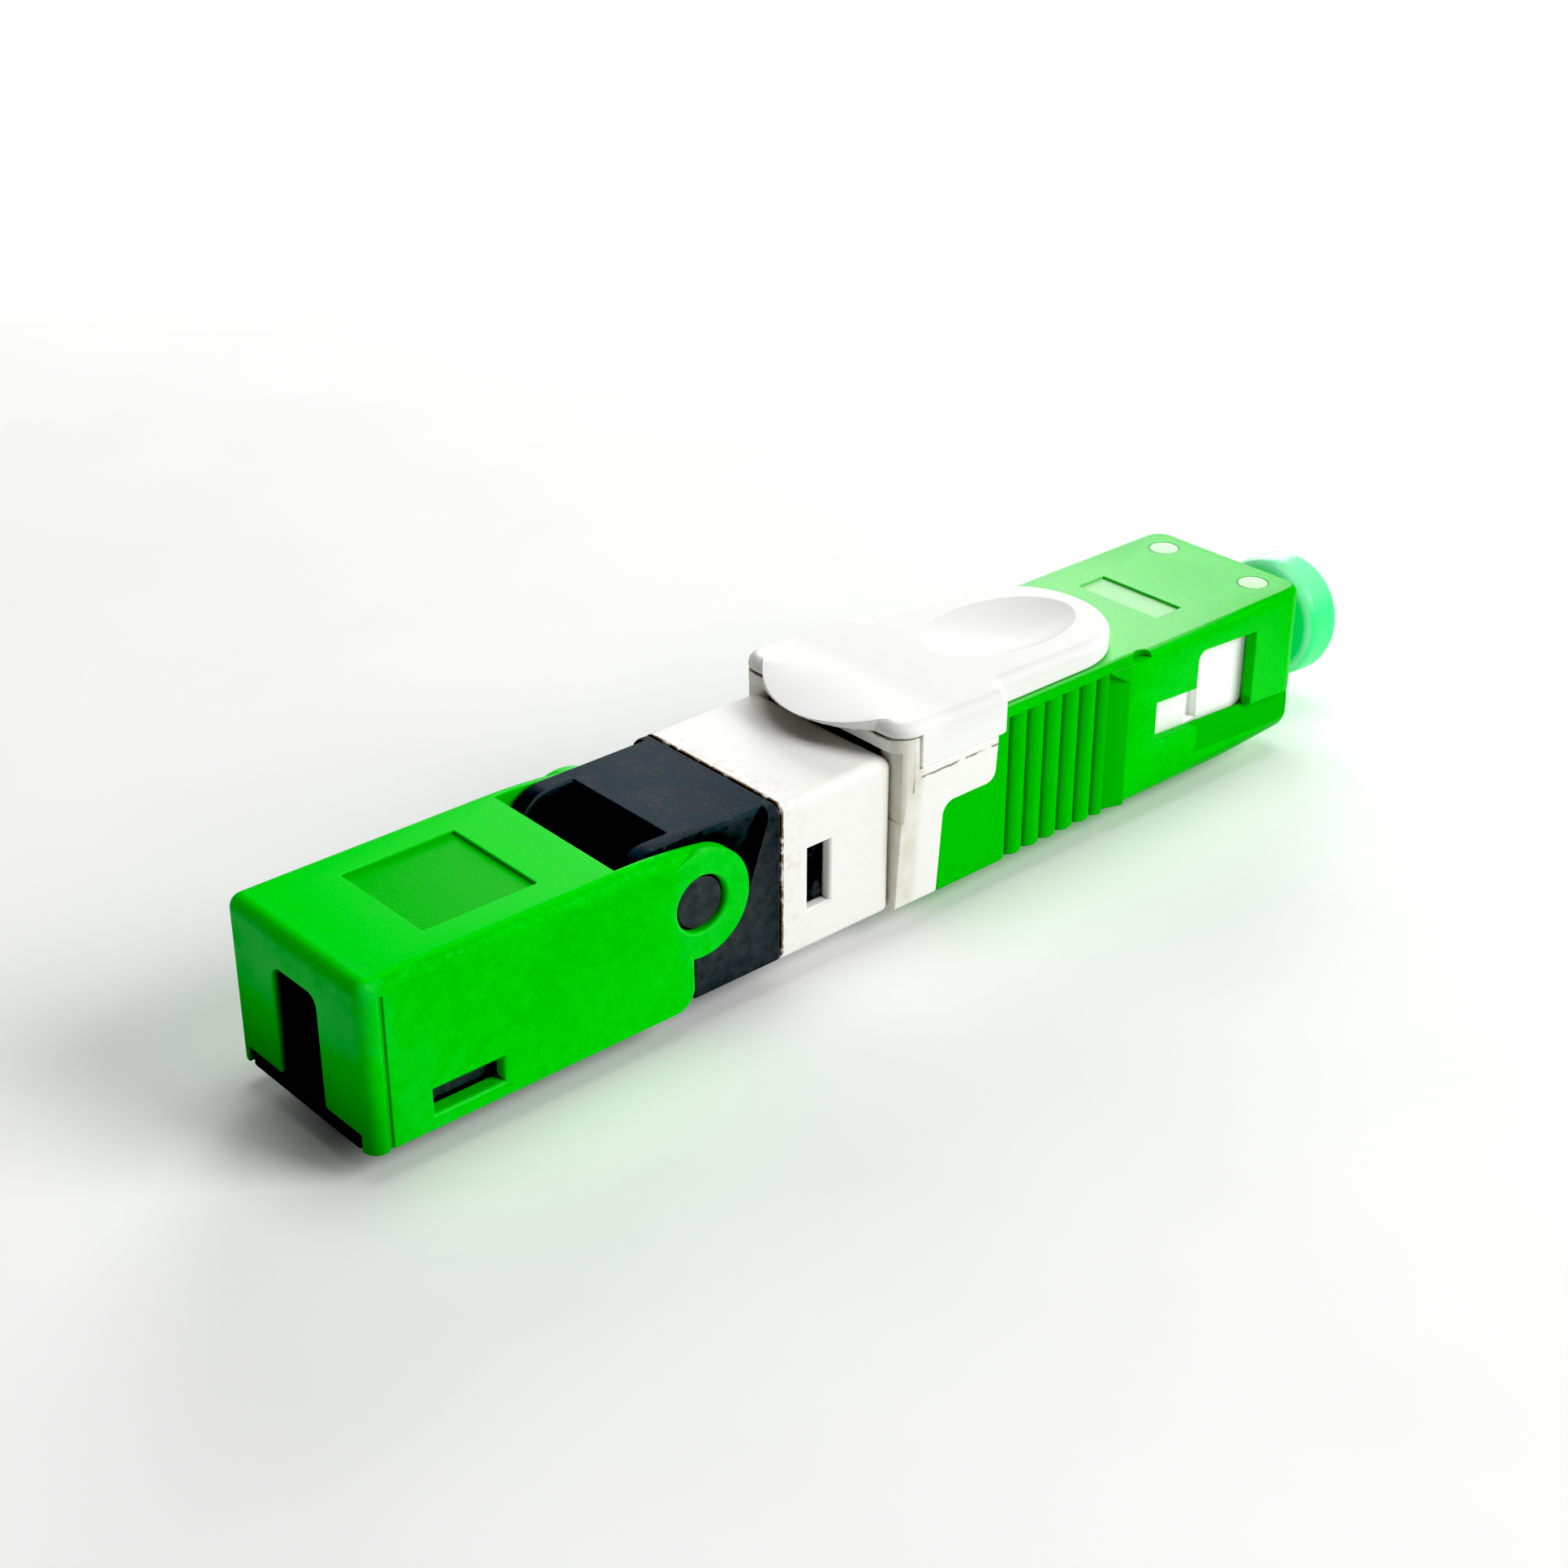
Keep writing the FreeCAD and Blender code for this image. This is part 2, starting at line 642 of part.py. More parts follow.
def main_body():
    half = collar_width / 2
    collar = slab(collar_rear, collar_front, half, collar_bottom, collar_top)
    collar = rounded(collar, collar_corner, "z", lambda p: near(p.x, collar_front))
    collar = rounded(collar, collar_corner, "x", lambda p: near(p.z, collar_top))
    collar = rounded(collar, collar_foot, "x", lambda p: near(p.z, collar_bottom))
    core_half = half - groove_depth
    core = slab(collar_front - cut_over, pillar_rear + cut_over, core_half, collar_bottom + groove_depth,
                collar_top - groove_depth)
    trough = slab(collar_front - cut_over, trough_front, trough_half, trough_bottom, trough_top)

    arm = taper_between(pillar_rear, arm_front).common(side_prism(arm_outline(0), 0, body_width))
    rear_edges = [edge for edge in arm.Edges
                  if near(edge.BoundBox.XMax, pillar_rear) and edge.BoundBox.YMin > trough_half]
    arm = arm.makeFillet(pillar_edge, rear_edges)
    rail_front = min(arm_front, slider_front - skirt_wall - slide_gap)
    rail = block(pillar_rear, rail_front, trough_half - trough_wall, rail_width / 2,
                 trough_top - cut_over, arm_top + rail_height)
    track_top = arm_top + hook_height + slide_gap * 2
    track = block(slider_rear, arm_front + cut_over, rail_width / 2 - hook_reach - slide_gap, body_width,
                  arm_top, track_top)
    rail = rail.cut(track)

    foot_top = collar_bottom + foot_height
    foot = side_prism([
        xz(collar_front - seat_gap, collar_bottom),
        xz(pillar_rear + pillar_edge, collar_bottom),
        xz(pillar_rear + pillar_edge, foot_top + foot_slope),
        ("arc", xz(collar_front + groove_width * 0.65, foot_top + foot_slope * 0.3),
         xz(collar_front - seat_gap, foot_top)),
    ], 0, body_width)
    foot = foot.common(taper_between(collar_front - seat_gap, pillar_rear + pillar_edge))

    hump_front = slider_rear - slide_gap
    hump_bottom = collar_top + hump_gap
    column = slab(hump_rear, hump_front, body_width / 2, collar_bottom, hump_top)
    column = rounded(column, hump_corner, "z", lambda p: near(p.x, hump_rear))
    hump = column.common(slab(hump_rear, hump_front, body_width, hump_bottom, hump_top))
    stem = slab(pillar_rear, hump_front, body_width / 2, arm_top - cut_over, hump_bottom + seat_gap)
    ahead_lintel = slab(hump_rear + lintel_length, hump_front + cut_over, rail_width / 2 - cut_over,
                        hump_bottom - cut_over, hump_top + cut_over)
    hump = hump.fuse(stem).cut(ahead_lintel)
    web = block(collar_front, hump_front, core_half - seat_gap, body_width / 2, foot_top,
                hump_bottom + seat_gap).common(column)
    web_low = web.common(taper_between(collar_front, hump_front))
    web_high = web.common(slab(collar_front, hump_front, body_width, arm_top - seat_gap, hump_top))

    ends = pair(arm) + pair(rail) + pair(foot) + pair(web_low) + pair(web_high)
    body = collar.fuse([core, trough, hump] + ends)
    socket = slab(collar_rear - cut_over, collar_front - bulkhead_length + seat_gap,
                  half - collar_wall, collar_bottom + collar_wall, collar_top - collar_wall)
    window_rear_x = collar_rear + snap_setback
    window = slab(window_rear_x, window_rear_x + snap_length, collar_width, snap_bottom,
                  snap_bottom + snap_height)
    pocket = slab(splice_rear - seat_gap, trough_front - trough_front_wall, splice_pocket_half,
                  splice_bottom - seat_gap * 2 - clip_sheet, hump_top)
    bore = rod_x(collar_front - bulkhead_length - cut_over, splice_rear + cut_over, guide_bore / 2)
    wire_way = rod_x(trough_front - trough_front_wall - cut_over, trough_front + cut_over,
                     barrel_diameter / 2 + slide_gap * 2)
    body = body.cut([socket, window, pocket, bore, wire_way])
    return body.removeSplitter()


def slider_plan():
    half = slider_width / 2
    tongue = tongue_width / 2
    step = half - tongue
    centre = tongue_tip - tongue
    lip_x = hump_rear - lip_centre
    lip_y = math.sqrt(lip_radius ** 2 - lip_x ** 2)
    curl = hump_corner + half - body_width / 2
    bend = shoulder_radius
    slant = math.sqrt(0.5)
    notch = slider_front + step - bend
    return [
        xy(hump_rear, -half + curl),
        ("arc", xy(hump_rear + curl - curl * slant, -half + curl - curl * slant),
         xy(hump_rear + curl, -half)),
        xy(slider_front - bend, -half),
        ("arc", xy(slider_front - bend + bend * slant, -half + bend - bend * slant),
         xy(slider_front, -half + bend)),
        ("arc", xy(notch - (notch - slider_front) * slant, -tongue - (step - bend) * (1 - slant)),
         xy(notch, -tongue)),
        xy(centre, -tongue),
        ("arc", xy(tongue_tip, 0), xy(centre, tongue)),
        xy(notch, tongue),
        ("arc", xy(notch - (notch - slider_front) * slant, tongue + (step - bend) * (1 - slant)),
         xy(slider_front, half - bend)),
        ("arc", xy(slider_front - bend + bend * slant, half - bend + bend * slant),
         xy(slider_front - bend, half)),
        xy(hump_rear + curl, half),
        ("arc", xy(hump_rear + curl - curl * slant, half - curl + curl * slant),
         xy(hump_rear, half - curl)),
        xy(hump_rear, lip_y),
        ("arc", xy(lip_centre - lip_radius, 0), xy(hump_rear, -lip_y)),
    ]


def clamp_slider():
    skirt_bottom = arm_top + seat_gap
    blank = plan_prism(slider_plan(), skirt_bottom, slider_top + cut_over)
    fall = math.tan(math.radians(slider_slope))
    far = tongue_tip + cut_over
    near_x = slider_rear - lip_reach - cut_over
    above = side_prism([
        xz(near_x, slider_top + (slider_rear - near_x) * fall),
        xz(far, slider_top + (slider_rear - far) * fall),
        xz(far, slider_top + cut_over * 2),
        xz(near_x, slider_top + cut_over * 2),
    ], -slider_width, slider_width)
    blank = blank.cut(above)
    top = max(blank.Faces, key=lambda face: face.CenterOfMass.z)
    ahead_of_lip = [edge for edge in top.Edges if edge.BoundBox.XMin > hump_rear + slide_gap]
    blank = blank.makeFillet(slider_edge, ahead_of_lip)

    under_lip = slab(near_x - cut_over, slider_rear, slider_width, skirt_bottom - cut_over, plate_under)
    under_plate = slab(slider_rear - cut_over, slider_front - skirt_wall, skirt_inner,
                       skirt_bottom - cut_over, plate_under)
    under_tongue = slab(slider_front - skirt_wall - cut_over, far, skirt_inner,
                        skirt_bottom - cut_over, tongue_under)
    front_skirt = slab(slider_front, far, slider_width, skirt_bottom - cut_over, tongue_under)

    scoop_front = slider_rear + scoop_start
    scoop_floor = slider_top - scoop_start * fall
    scoop_length = lip_reach + scoop_start + cut_over * 3
    tilt = math.radians(scoop_slope + slider_slope)
    lift = Vector(math.sin(tilt), 0, math.cos(tilt)) * scoop_radius
    along = Vector(-math.cos(tilt), 0, -math.sin(tilt))
    scoop_foot = Vector(scoop_front, 0, scoop_floor) + Vector(-lift.x, 0, lift.z)
    scoop = Part.makeCylinder(scoop_radius, scoop_length + cut_over, scoop_foot - along * cut_over, along)

    bend_along = (dish_length ** 2 / 4 + dish_depth ** 2) / (2 * dish_depth)
    bend_across = (dish_width ** 2 / 4 + dish_depth ** 2) / (2 * dish_depth)
    dish_floor = slider_top - (dish_middle - slider_rear) * fall - dish_depth
    dish_centre = Vector(dish_middle + bend_along * fall, 0, dish_floor + bend_along)
    bowl = Part.makeTorus(bend_along - bend_across, bend_across, dish_centre, Vector(0, 1, 0))
    plate = blank.cut([under_lip, under_plate, under_tongue, front_skirt, scoop, bowl])

    wedge_end = wedge_start + wedge_length
    wedge = side_prism([
        xz(wedge_start, wedge_low),
        xz(wedge_end, wedge_low + wedge_length * wedge_slope),
        xz(wedge_end, plate_under + seat_gap),
        xz(wedge_start, plate_under + seat_gap),
    ], -wedge_width / 2, wedge_width / 2)
    hook_rear = slider_rear + slide_gap
    hook_root = skirt_inner + skirt_wall / 2
    hook = block(hook_rear, hook_rear + hook_length, rail_width / 2 - hook_reach, hook_root,
                 skirt_bottom, skirt_bottom + hook_height)
    return fuse_all(plate, [wedge] + pair(hook))


def grip_blank():
    nose_rear = grip_front - grip_nose_length
    front_block = side_prism([
        xz(rib_zone_front, grip_bottom),
        xz(nose_rear, grip_bottom),
        xz(grip_front, grip_bottom + grip_nose_rise),
        xz(grip_front, grip_top),
        xz(rib_zone_front, grip_top),
    ], -grip_width / 2, grip_width / 2)
    front_block = rounded(front_block, grip_corner, "y", lambda p: near(p.x, grip_front) and p.z < axis_z)
    front_block = rounded(front_block, grip_corner, "z", lambda p: near(p.x, grip_front))
    front_block = rounded(front_block, grip_edge, "x", lambda p: near(p.z, grip_top))
    finger_zone = slab(grip_rear, rib_zone_front, rib_zone_width / 2, rib_zone_bottom, grip_top)
    band = slab(band_rear, rib_zone_front, grip_width / 2, rib_zone_bottom, grip_top)
    key_front = grip_front - key_setback
    key = side_prism([
        xz(key_front - key_length, grip_bottom - key_height),
        xz(key_front - key_height, grip_bottom - key_height),
        xz(key_front, grip_bottom + grip_floor_wall / 2),
        xz(key_front - key_length, grip_bottom + grip_floor_wall / 2),
    ], -key_width / 2, key_width / 2)
    return fuse_all(front_block, [finger_zone, band, key])


def window_edge(x, height):
    # Height of a window edge that stands this far above the window's sill.
    return window_low + height - (x - window_rear) * math.tan(math.radians(window_fall))


def window_outline():
    bend = window_corner
    slant = math.sqrt(0.5)
    inside = window_step + bend * (1 - slant)
    return [
        xz(window_rear, window_edge(window_rear, 0)),
        xz(window_front, window_edge(window_front, 0)),
        xz(window_front, window_edge(window_front, window_tall_height)),
        xz(window_step + bend, window_edge(window_step + bend, window_tall_height)),
        ("arc", xz(inside, window_edge(inside, window_tall_height - bend * (1 - slant))),
         xz(window_step, window_edge(window_step, window_tall_height - bend))),
        xz(window_step, window_edge(window_step, window_low_height)),
        xz(window_rear, window_edge(window_rear, window_low_height)),
    ]


def grip_housing():
    blank = grip_blank()
    half = rib_zone_width / 2
    chamfer = end_prism([
        yz(half - edge_chamfer_width, grip_top),
        yz(half - edge_chamfer_width, grip_top + cut_over),
        yz(half + cut_over, grip_top + cut_over),
        yz(half + cut_over, grip_top - edge_chamfer_drop),
        yz(half, grip_top - edge_chamfer_drop),
    ], grip_rear - cut_over, edge_chamfer_front)
    tools = pair(chamfer)

    rib_top = grip_top - rib_top_gap
    reach = rib_pitch / 2
    bulge = (reach ** 2 + rib_groove_depth ** 2) / (2 * rib_groove_depth)
    turn = math.asin(reach / bulge) / 2
    aside = bulge * math.sin(turn)
    sunk = bulge * (1 - math.cos(turn))
    for number in range(rib_count):
        rib_x = rib_first + number * rib_pitch
        groove = plan_prism([
            xy(rib_x - reach, half),
            ("arc", xy(rib_x - reach + aside, half - sunk), xy(rib_x, half - rib_groove_depth)),
            ("arc", xy(rib_x + reach - aside, half - sunk), xy(rib_x + reach, half)),
            xy(rib_x + reach, half + cut_over),
            xy(rib_x - reach, half + cut_over),
        ], grip_bottom - cut_over, rib_top)
        tools += pair(groove)
    band = plan_prism([
        xy(band_rear, half - band_depth),
        xy(rib_zone_front, grip_width / 2),
        xy(rib_zone_front, half + cut_over),
        xy(band_rear, half + cut_over),
    ], grip_bottom - cut_over, rib_top)
    tools += pair(band.common(side_prism([
        xz(band_rear, grip_bottom - cut_over),
        xz(rib_zone_front, grip_bottom - cut_over),
        xz(rib_zone_front, rib_top - band_fall),
        xz(band_rear, rib_top),
    ], 0, grip_width)))

    tools += pair(rod_z(grip_top - edge_chamfer_drop, grip_top + cut_over, chamfer_end_radius,
                        edge_chamfer_front, grip_width / 2))
    slim = grip_width / 2 - grip_side_wall - cut_over
    tools += pair(side_prism(window_outline(), slim, grip_width))
    ramp_top = window_edge(window_front, slide_gap)
    ramp = end_prism([
        yz(grip_width / 2, ramp_top - hook_ramp_height),
        yz(grip_width / 2 + cut_over, ramp_top - hook_ramp_height),
        yz(grip_width / 2 + cut_over, ramp_top),
        yz(grip_width / 2 - hook_ramp_depth, ramp_top),
    ], window_step + window_corner / 2, grip_front + cut_over)
    ramp.rotate(Vector(window_front, 0, ramp_top), Vector(0, 1, 0), window_fall)
    tools += pair(ramp)

    tools.append(slab(label_rear, label_rear + label_length, label_width / 2, grip_top - label_depth,
                      grip_top + cut_over))
    mark = rod_z(grip_top - mark_depth, grip_top + cut_over, mark_radius, grip_front - mark_setback,
                 mark_spacing / 2)
    tools += pair(mark)

    tools.append(slab(grip_rear - cut_over, grip_front + cut_over, cavity_half, cavity_bottom, cavity_top))
    cut_out = side_prism(arm_outline(slide_gap), -grip_width, grip_width)
    above_arm = slab(grip_rear - cut_over, arm_front + slide_gap, grip_width, arm_bottom + arm_corner,
                     grip_top + cut_over)
    wedge_way = slab(arm_front, wedge_start + wedge_length + slider_travel + wedge_slot_gap,
                     wedge_width / 2 + wedge_slot_gap, axis_z, grip_top + cut_over)
    tools += [cut_out, above_arm, wedge_way]
    return blank.cut(tools).removeSplitter()


def plug_frame():
    shell = slab(frame_rear, frame_front, frame_half, frame_bottom, frame_top)
    shell = rounded(shell, frame_corner, "z", lambda p: near(p.x, frame_front))
    sleeve = slab(frame_rear - cut_over, trough_front + seat_gap, trough_half + seat_gap,
                  trough_bottom - seat_gap, trough_top + seat_gap)
    spring_room = rod_x(trough_front - cut_over, seat_rear, spring_bore / 2)
    seat = rod_x(seat_rear - cut_over, seat_rear + seat_wall + cut_over, seat_hole / 2)
    front_bore = rod_x(seat_rear + seat_wall, frame_front + cut_over, frame_bore / 2)
    notch_rear = window_step + slide_gap
    notch = block(notch_rear, notch_rear + frame_notch_length, frame_half - frame_notch_depth,
                  frame_half + cut_over, window_edge(window_step, 0),
                  window_edge(window_step, window_tall_height))
    return shell.cut([sleeve, spring_room, seat, front_bore] + pair(notch)).removeSplitter()


def ferrule():
    radius = ferrule_diameter / 2
    blank = turned_x([
        (ferrule_rear, fibre_bore / 2),
        (ferrule_rear, radius - ferrule_chamfer / 2),
        (ferrule_rear + ferrule_chamfer / 2, radius),
        (ferrule_tip - ferrule_chamfer, radius),
        (ferrule_tip, radius - ferrule_chamfer),
        (ferrule_tip, fibre_bore / 2),
    ])
    return blank.cut(polish_tool())


def polish_tool():
    # Everything ahead of the angled end face, which leans back towards the top.
    lean = math.tan(math.radians(polish_angle))
    reach = ferrule_diameter
    return side_prism([
        xz(ferrule_tip + reach * lean, axis_z - reach),
        xz(ferrule_tip + reach, axis_z - reach),
        xz(ferrule_tip + reach, axis_z + reach),
        xz(ferrule_tip - reach * lean, axis_z + reach),
    ], -reach, reach)


def ferrule_flange():
    hold = ferrule_diameter / 2 + press_gap
    blank = turned_x([
        (barrel_rear, barrel_bore / 2),
        (barrel_rear, barrel_diameter / 2),
        (flange_rear, barrel_diameter / 2),
        (flange_rear, flange_diameter / 2),
        (flange_front, flange_diameter / 2),
        (flange_front, neck_diameter / 2),
        (neck_front, neck_diameter / 2),
        (neck_front, hold),
        (ferrule_rear - seat_gap, hold),
        (ferrule_rear - seat_gap, barrel_bore / 2),
    ])
    reach = flange_diameter
    deep = neck_diameter / 2 + slide_gap
    notch = block(flange_rear - cut_over, flange_front + cut_over, deep, reach, axis_z - flange_notch / 2,
                  axis_z + flange_notch / 2)
    notches = []
    for quarter in range(4):
        copy = notch.copy()
        copy.rotate(Vector(0, 0, axis_z), Vector(1, 0, 0), 90 * quarter)
        notches.append(copy)
    return blank.cut(notches)


def ferrule_spring():
    radius = spring_diameter / 2
    wire = spring_wire / 2
    rear = trough_front + seat_gap + wire
    length = flange_rear - seat_gap - wire - rear
    coil = Part.makeHelix(length / spring_turns, length, radius)
    coil.rotate(Vector(0, 0, 0), Vector(0, 1, 0), 90)
    coil.translate(Vector(rear, 0, axis_z))
    start = coil.Edges[0].valueAt(coil.Edges[0].FirstParameter)
    heading = coil.Edges[0].tangentAt(coil.Edges[0].FirstParameter)
    across = heading.cross(Vector(1, 0, 0)).normalize()
    upright = heading.cross(across)
    ring = []
    for number in range(spring_sides):
        angle = 2 * math.pi * number / spring_sides
        ring.append(start + across * (wire * math.cos(angle)) + upright * (wire * math.sin(angle)))
    section = Part.makePolygon(ring + [ring[0]])
    return Part.Wire(coil.Edges).makePipeShell([section], True, True)


def fibre_stub():
    glass = rod_x(splice_middle + lid_gap / 2, ferrule_tip + ferrule_diameter, fibre_diameter / 2)
    return glass.cut(polish_tool())


def splice_base():
    half = splice_width / 2
    clear = fibre_diameter / 2 + press_gap
    apex = axis_z - clear / math.sin(math.radians(groove_half_angle))
    top = axis_z + clear / 2
    spread = (top - apex) * math.tan(math.radians(groove_half_angle))
    return end_prism([
        yz(-half, splice_bottom),
        yz(half, splice_bottom),
        yz(half, top),
        yz(spread, top),
        yz(0, apex),
        yz(-spread, top),
        yz(-half, top),
    ], splice_rear, splice_front)


def splice_lid(x0, x1):
    half = splice_width / 2
    under = axis_z + lid_lift + press_gap
    lid = slab(x0, x1, half, under, splice_top)
    return rounded(lid, (splice_top - under) / 4, "x", lambda p: near(p.z, splice_top))


def splice_lid_rear():
    return splice_lid(splice_rear + seat_gap, splice_middle - lid_gap / 2)


def splice_lid_front():
    return splice_lid(splice_middle + lid_gap / 2, splice_front - seat_gap)


def splice_clip():
    inner_top = splice_top + seat_gap
    inner_bottom = splice_bottom - seat_gap
    back = splice_width / 2 + seat_gap
    rear = splice_rear + clip_margin
    front = splice_front - clip_margin
    sheet = block(rear, front, -splice_width / 2, back + clip_sheet, inner_bottom - clip_sheet, clip_top)
    sheet = rounded(sheet, clip_sheet, "x", lambda p: p.y > 0)
    room = block(rear - cut_over, front + cut_over, -splice_width, back, inner_bottom, inner_top)
    slit = block(splice_middle - clip_slit / 2, splice_middle + clip_slit / 2, -splice_width, back,
                 inner_top - seat_gap / 2, clip_top + cut_over)
    return sheet.cut([room, slit])


def press_block():
    ramp = wedge_low - slide_gap
    front = block_rear + block_length
    ridge = side_prism([
        xz(block_rear, block_bottom),
        xz(front, block_bottom),
        xz(front, ramp + (front - wedge_start) * wedge_slope),
        xz(block_rear, ramp + (block_rear - wedge_start) * wedge_slope),
    ], -block_width / 2, block_width / 2)
    foot = slab(block_rear, front, splice_pocket_half - slide_gap, block_bottom, block_bottom + block_foot)
    return fuse_all(ridge, [foot])


def fibre_guide():
    wall_rear = collar_front - bulkhead_length
    body = guide_bore / 2 - press_gap
    mouth = wall_rear + seat_gap - guide_flange_length
    front = splice_rear - seat_gap
    return turned_x([
        (mouth, guide_mouth / 2),
        (mouth, guide_flange / 2),
        (wall_rear + seat_gap - press_gap, guide_flange / 2),
        (wall_rear + seat_gap - press_gap, body),
        (front, body),
        (front, guide_throat / 2),
        (front - guide_throat_length, guide_throat / 2),
    ])


def dust_cap():
    bore = ferrule_diameter / 2 + cap_bore_gap
    end = ferrule_tip + cap_tip_room
    neck_front = cap_head_rear
    neck_rear = neck_front - cap_neck_length
    head = cap_head_diameter / 2
    soft = 1 - math.sqrt(0.5)
    cap = turned_x([
        (cap_tube_rear, bore),
        (cap_tube_rear, cap_tube_diameter / 2),
        (neck_rear, cap_tube_diameter / 2),
        (neck_rear, cap_neck_diameter / 2),
        (neck_front, cap_neck_diameter / 2),
        (neck_front, head - cap_head_edge),
        (neck_front + cap_head_edge * soft, head - cap_head_edge * soft),
        (neck_front + cap_head_edge, head),
        (cap_front - cap_head_edge, head),
        (cap_front - cap_head_edge * soft, head - cap_head_edge * soft),
        (cap_front, head - cap_head_edge),
        (cap_front, 0),
        (end, 0),
        (end, bore),
    ])
    cap.translate(Vector(0, 0, -cap_drop))
    cap.rotate(Vector(cap_pivot, 0, axis_z), Vector(0, 1, 0), cap_tilt)
    return cap


pieces = {
    "tail_cover": tail_cover,
    "cable_base": cable_base,
    "main_body": main_body,
    "clamp_slider": clamp_slider,
    "grip_housing": grip_housing,
    "plug_frame": plug_frame,
    "ferrule": ferrule,
    "ferrule_flange": ferrule_flange,
    "ferrule_spring": ferrule_spring,
    "fibre_stub": fibre_stub,
    "splice_base": splice_base,
    "splice_lid_rear": splice_lid_rear,
    "splice_lid_front": splice_lid_front,
    "splice_clip": splice_clip,
    "press_block": press_block,
    "fibre_guide": fibre_guide,
    "dust_cap": dust_cap,
}

os.makedirs("parts", exist_ok=True)
for name, make in pieces.items():
    shape = make()
    shape.translate(Vector(-part_middle, 0, -part_bottom))
    shape.exportStep("parts/" + name + ".step")
    print(name, shape.isValid(), len(shape.Solids), round(shape.Volume, 2))
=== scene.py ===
import math

import bmesh
import bpy
from mathutils import Matrix, Vector
from mathutils.bvhtree import BVHTree
from mathutils.geometry import intersect_point_line


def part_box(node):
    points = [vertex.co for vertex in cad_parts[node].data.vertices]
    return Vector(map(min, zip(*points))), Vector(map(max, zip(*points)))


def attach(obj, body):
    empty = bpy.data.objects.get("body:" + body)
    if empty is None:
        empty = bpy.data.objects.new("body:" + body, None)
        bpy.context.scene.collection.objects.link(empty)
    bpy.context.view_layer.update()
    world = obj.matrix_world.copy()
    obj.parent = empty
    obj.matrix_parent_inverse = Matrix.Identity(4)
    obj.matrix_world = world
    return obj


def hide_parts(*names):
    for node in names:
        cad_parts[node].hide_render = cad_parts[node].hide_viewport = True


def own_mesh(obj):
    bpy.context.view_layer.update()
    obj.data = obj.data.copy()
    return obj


mm = 0.001
openEnd = 1.0                                      # metres, past every side of the part
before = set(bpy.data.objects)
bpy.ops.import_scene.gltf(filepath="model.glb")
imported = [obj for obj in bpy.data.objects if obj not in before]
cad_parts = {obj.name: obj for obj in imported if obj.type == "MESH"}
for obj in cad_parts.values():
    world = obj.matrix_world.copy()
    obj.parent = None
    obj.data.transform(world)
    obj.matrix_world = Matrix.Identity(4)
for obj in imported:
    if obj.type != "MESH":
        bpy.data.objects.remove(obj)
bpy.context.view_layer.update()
print("frame loaded:", len(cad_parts), "solids")


class Wire:                                        # a shader value that takes part in sums
    def __init__(self, tree, socket=None):
        self.tree = tree
        self.socket = socket

    def add(self, kind, settings=None, inputs=None, output=0):
        node = self.tree.nodes.new(kind)
        for key, value in (settings or {}).items():
            if key == "stops":
                while len(node.color_ramp.elements) < len(value):
                    node.color_ramp.elements.new(1.0)
                for element, (place, colour) in zip(node.color_ramp.elements, value):
                    element.position = place
                    element.color = colour
            else:
                setattr(node, key, value)
        for key, value in (inputs or {}).items():
            if isinstance(value, Wire):
                self.tree.links.new(value.socket, node.inputs[key])
            else:
                node.inputs[key].default_value = value
        return Wire(self.tree, None if output is None else node.outputs[output])

    def maths(self, operation, first, second=0.0, clamp=False):
        return self.add("ShaderNodeMath", {"operation": operation, "use_clamp": clamp}, {0: first, 1: second})

    def __add__(self, other):
        return self.maths("ADD", self, other)

    def __sub__(self, other):
        return self.maths("SUBTRACT", self, other)

    def __rsub__(self, other):
        return self.maths("SUBTRACT", other, self)

    def __mul__(self, other):
        return self.maths("MULTIPLY", self, other)

    def __truediv__(self, other):
        return self.maths("DIVIDE", self, other)

    __radd__ = __add__
    __rmul__ = __mul__

    def held(self):                                # kept between 0 and 1
        return self.maths("ADD", self, 0.0, True)

    def least(self, other):
        return self.maths("MINIMUM", self, other)

    def most(self, other):
        return self.maths("MAXIMUM", self, other)

    def size(self):
        return self.maths("ABSOLUTE", self)

    def band(self, low, high):                     # 0 at low, 1 at high, smooth between
        return self.add("ShaderNodeMapRange", {"interpolation_type": "SMOOTHSTEP"},
                        {"Value": self, "From Min": low, "From Max": high})

    def toward(self, colour, amount):              # this colour mixed toward another
        return self.add("ShaderNodeMix", {"data_type": "RGBA"}, {0: amount, 6: self, 7: colour}, 2)


def newMaterial(name):
    material = bpy.data.materials.new(name)
    material.use_nodes = True
    tree = material.node_tree
    tree.nodes.clear()
    paint = Wire(tree)
    places = paint.add("ShaderNodeTexCoord", output=3)
    return material, paint, places


def finishMaterial(paint, fixed, varying):         # fixed values sit on the sockets themselves
    shader = paint.tree.nodes.new("ShaderNodeBsdfPrincipled")
    for key, value in fixed.items():
        shader.inputs[key].default_value = value
    for key, value in varying.items():
        paint.tree.links.new(value.socket, shader.inputs[key])
    end = paint.tree.nodes.new("ShaderNodeOutputMaterial")
    paint.tree.links.new(shader.outputs[0], end.inputs[0])


def noiseAt(places, scale, detail=3.0, roughness=0.55):
    return places.add("ShaderNodeTexNoise", None,
                      {"Vector": places, "Scale": scale, "Detail": detail, "Roughness": roughness})


def rgb(red, green, blue):
    return (red, green, blue, 1.0)


def axesOf(places):
    split = places.tree.nodes.new("ShaderNodeSeparateXYZ")
    places.tree.links.new(places.socket, split.inputs[0])
    return [Wire(places.tree, socket) for socket in split.outputs]


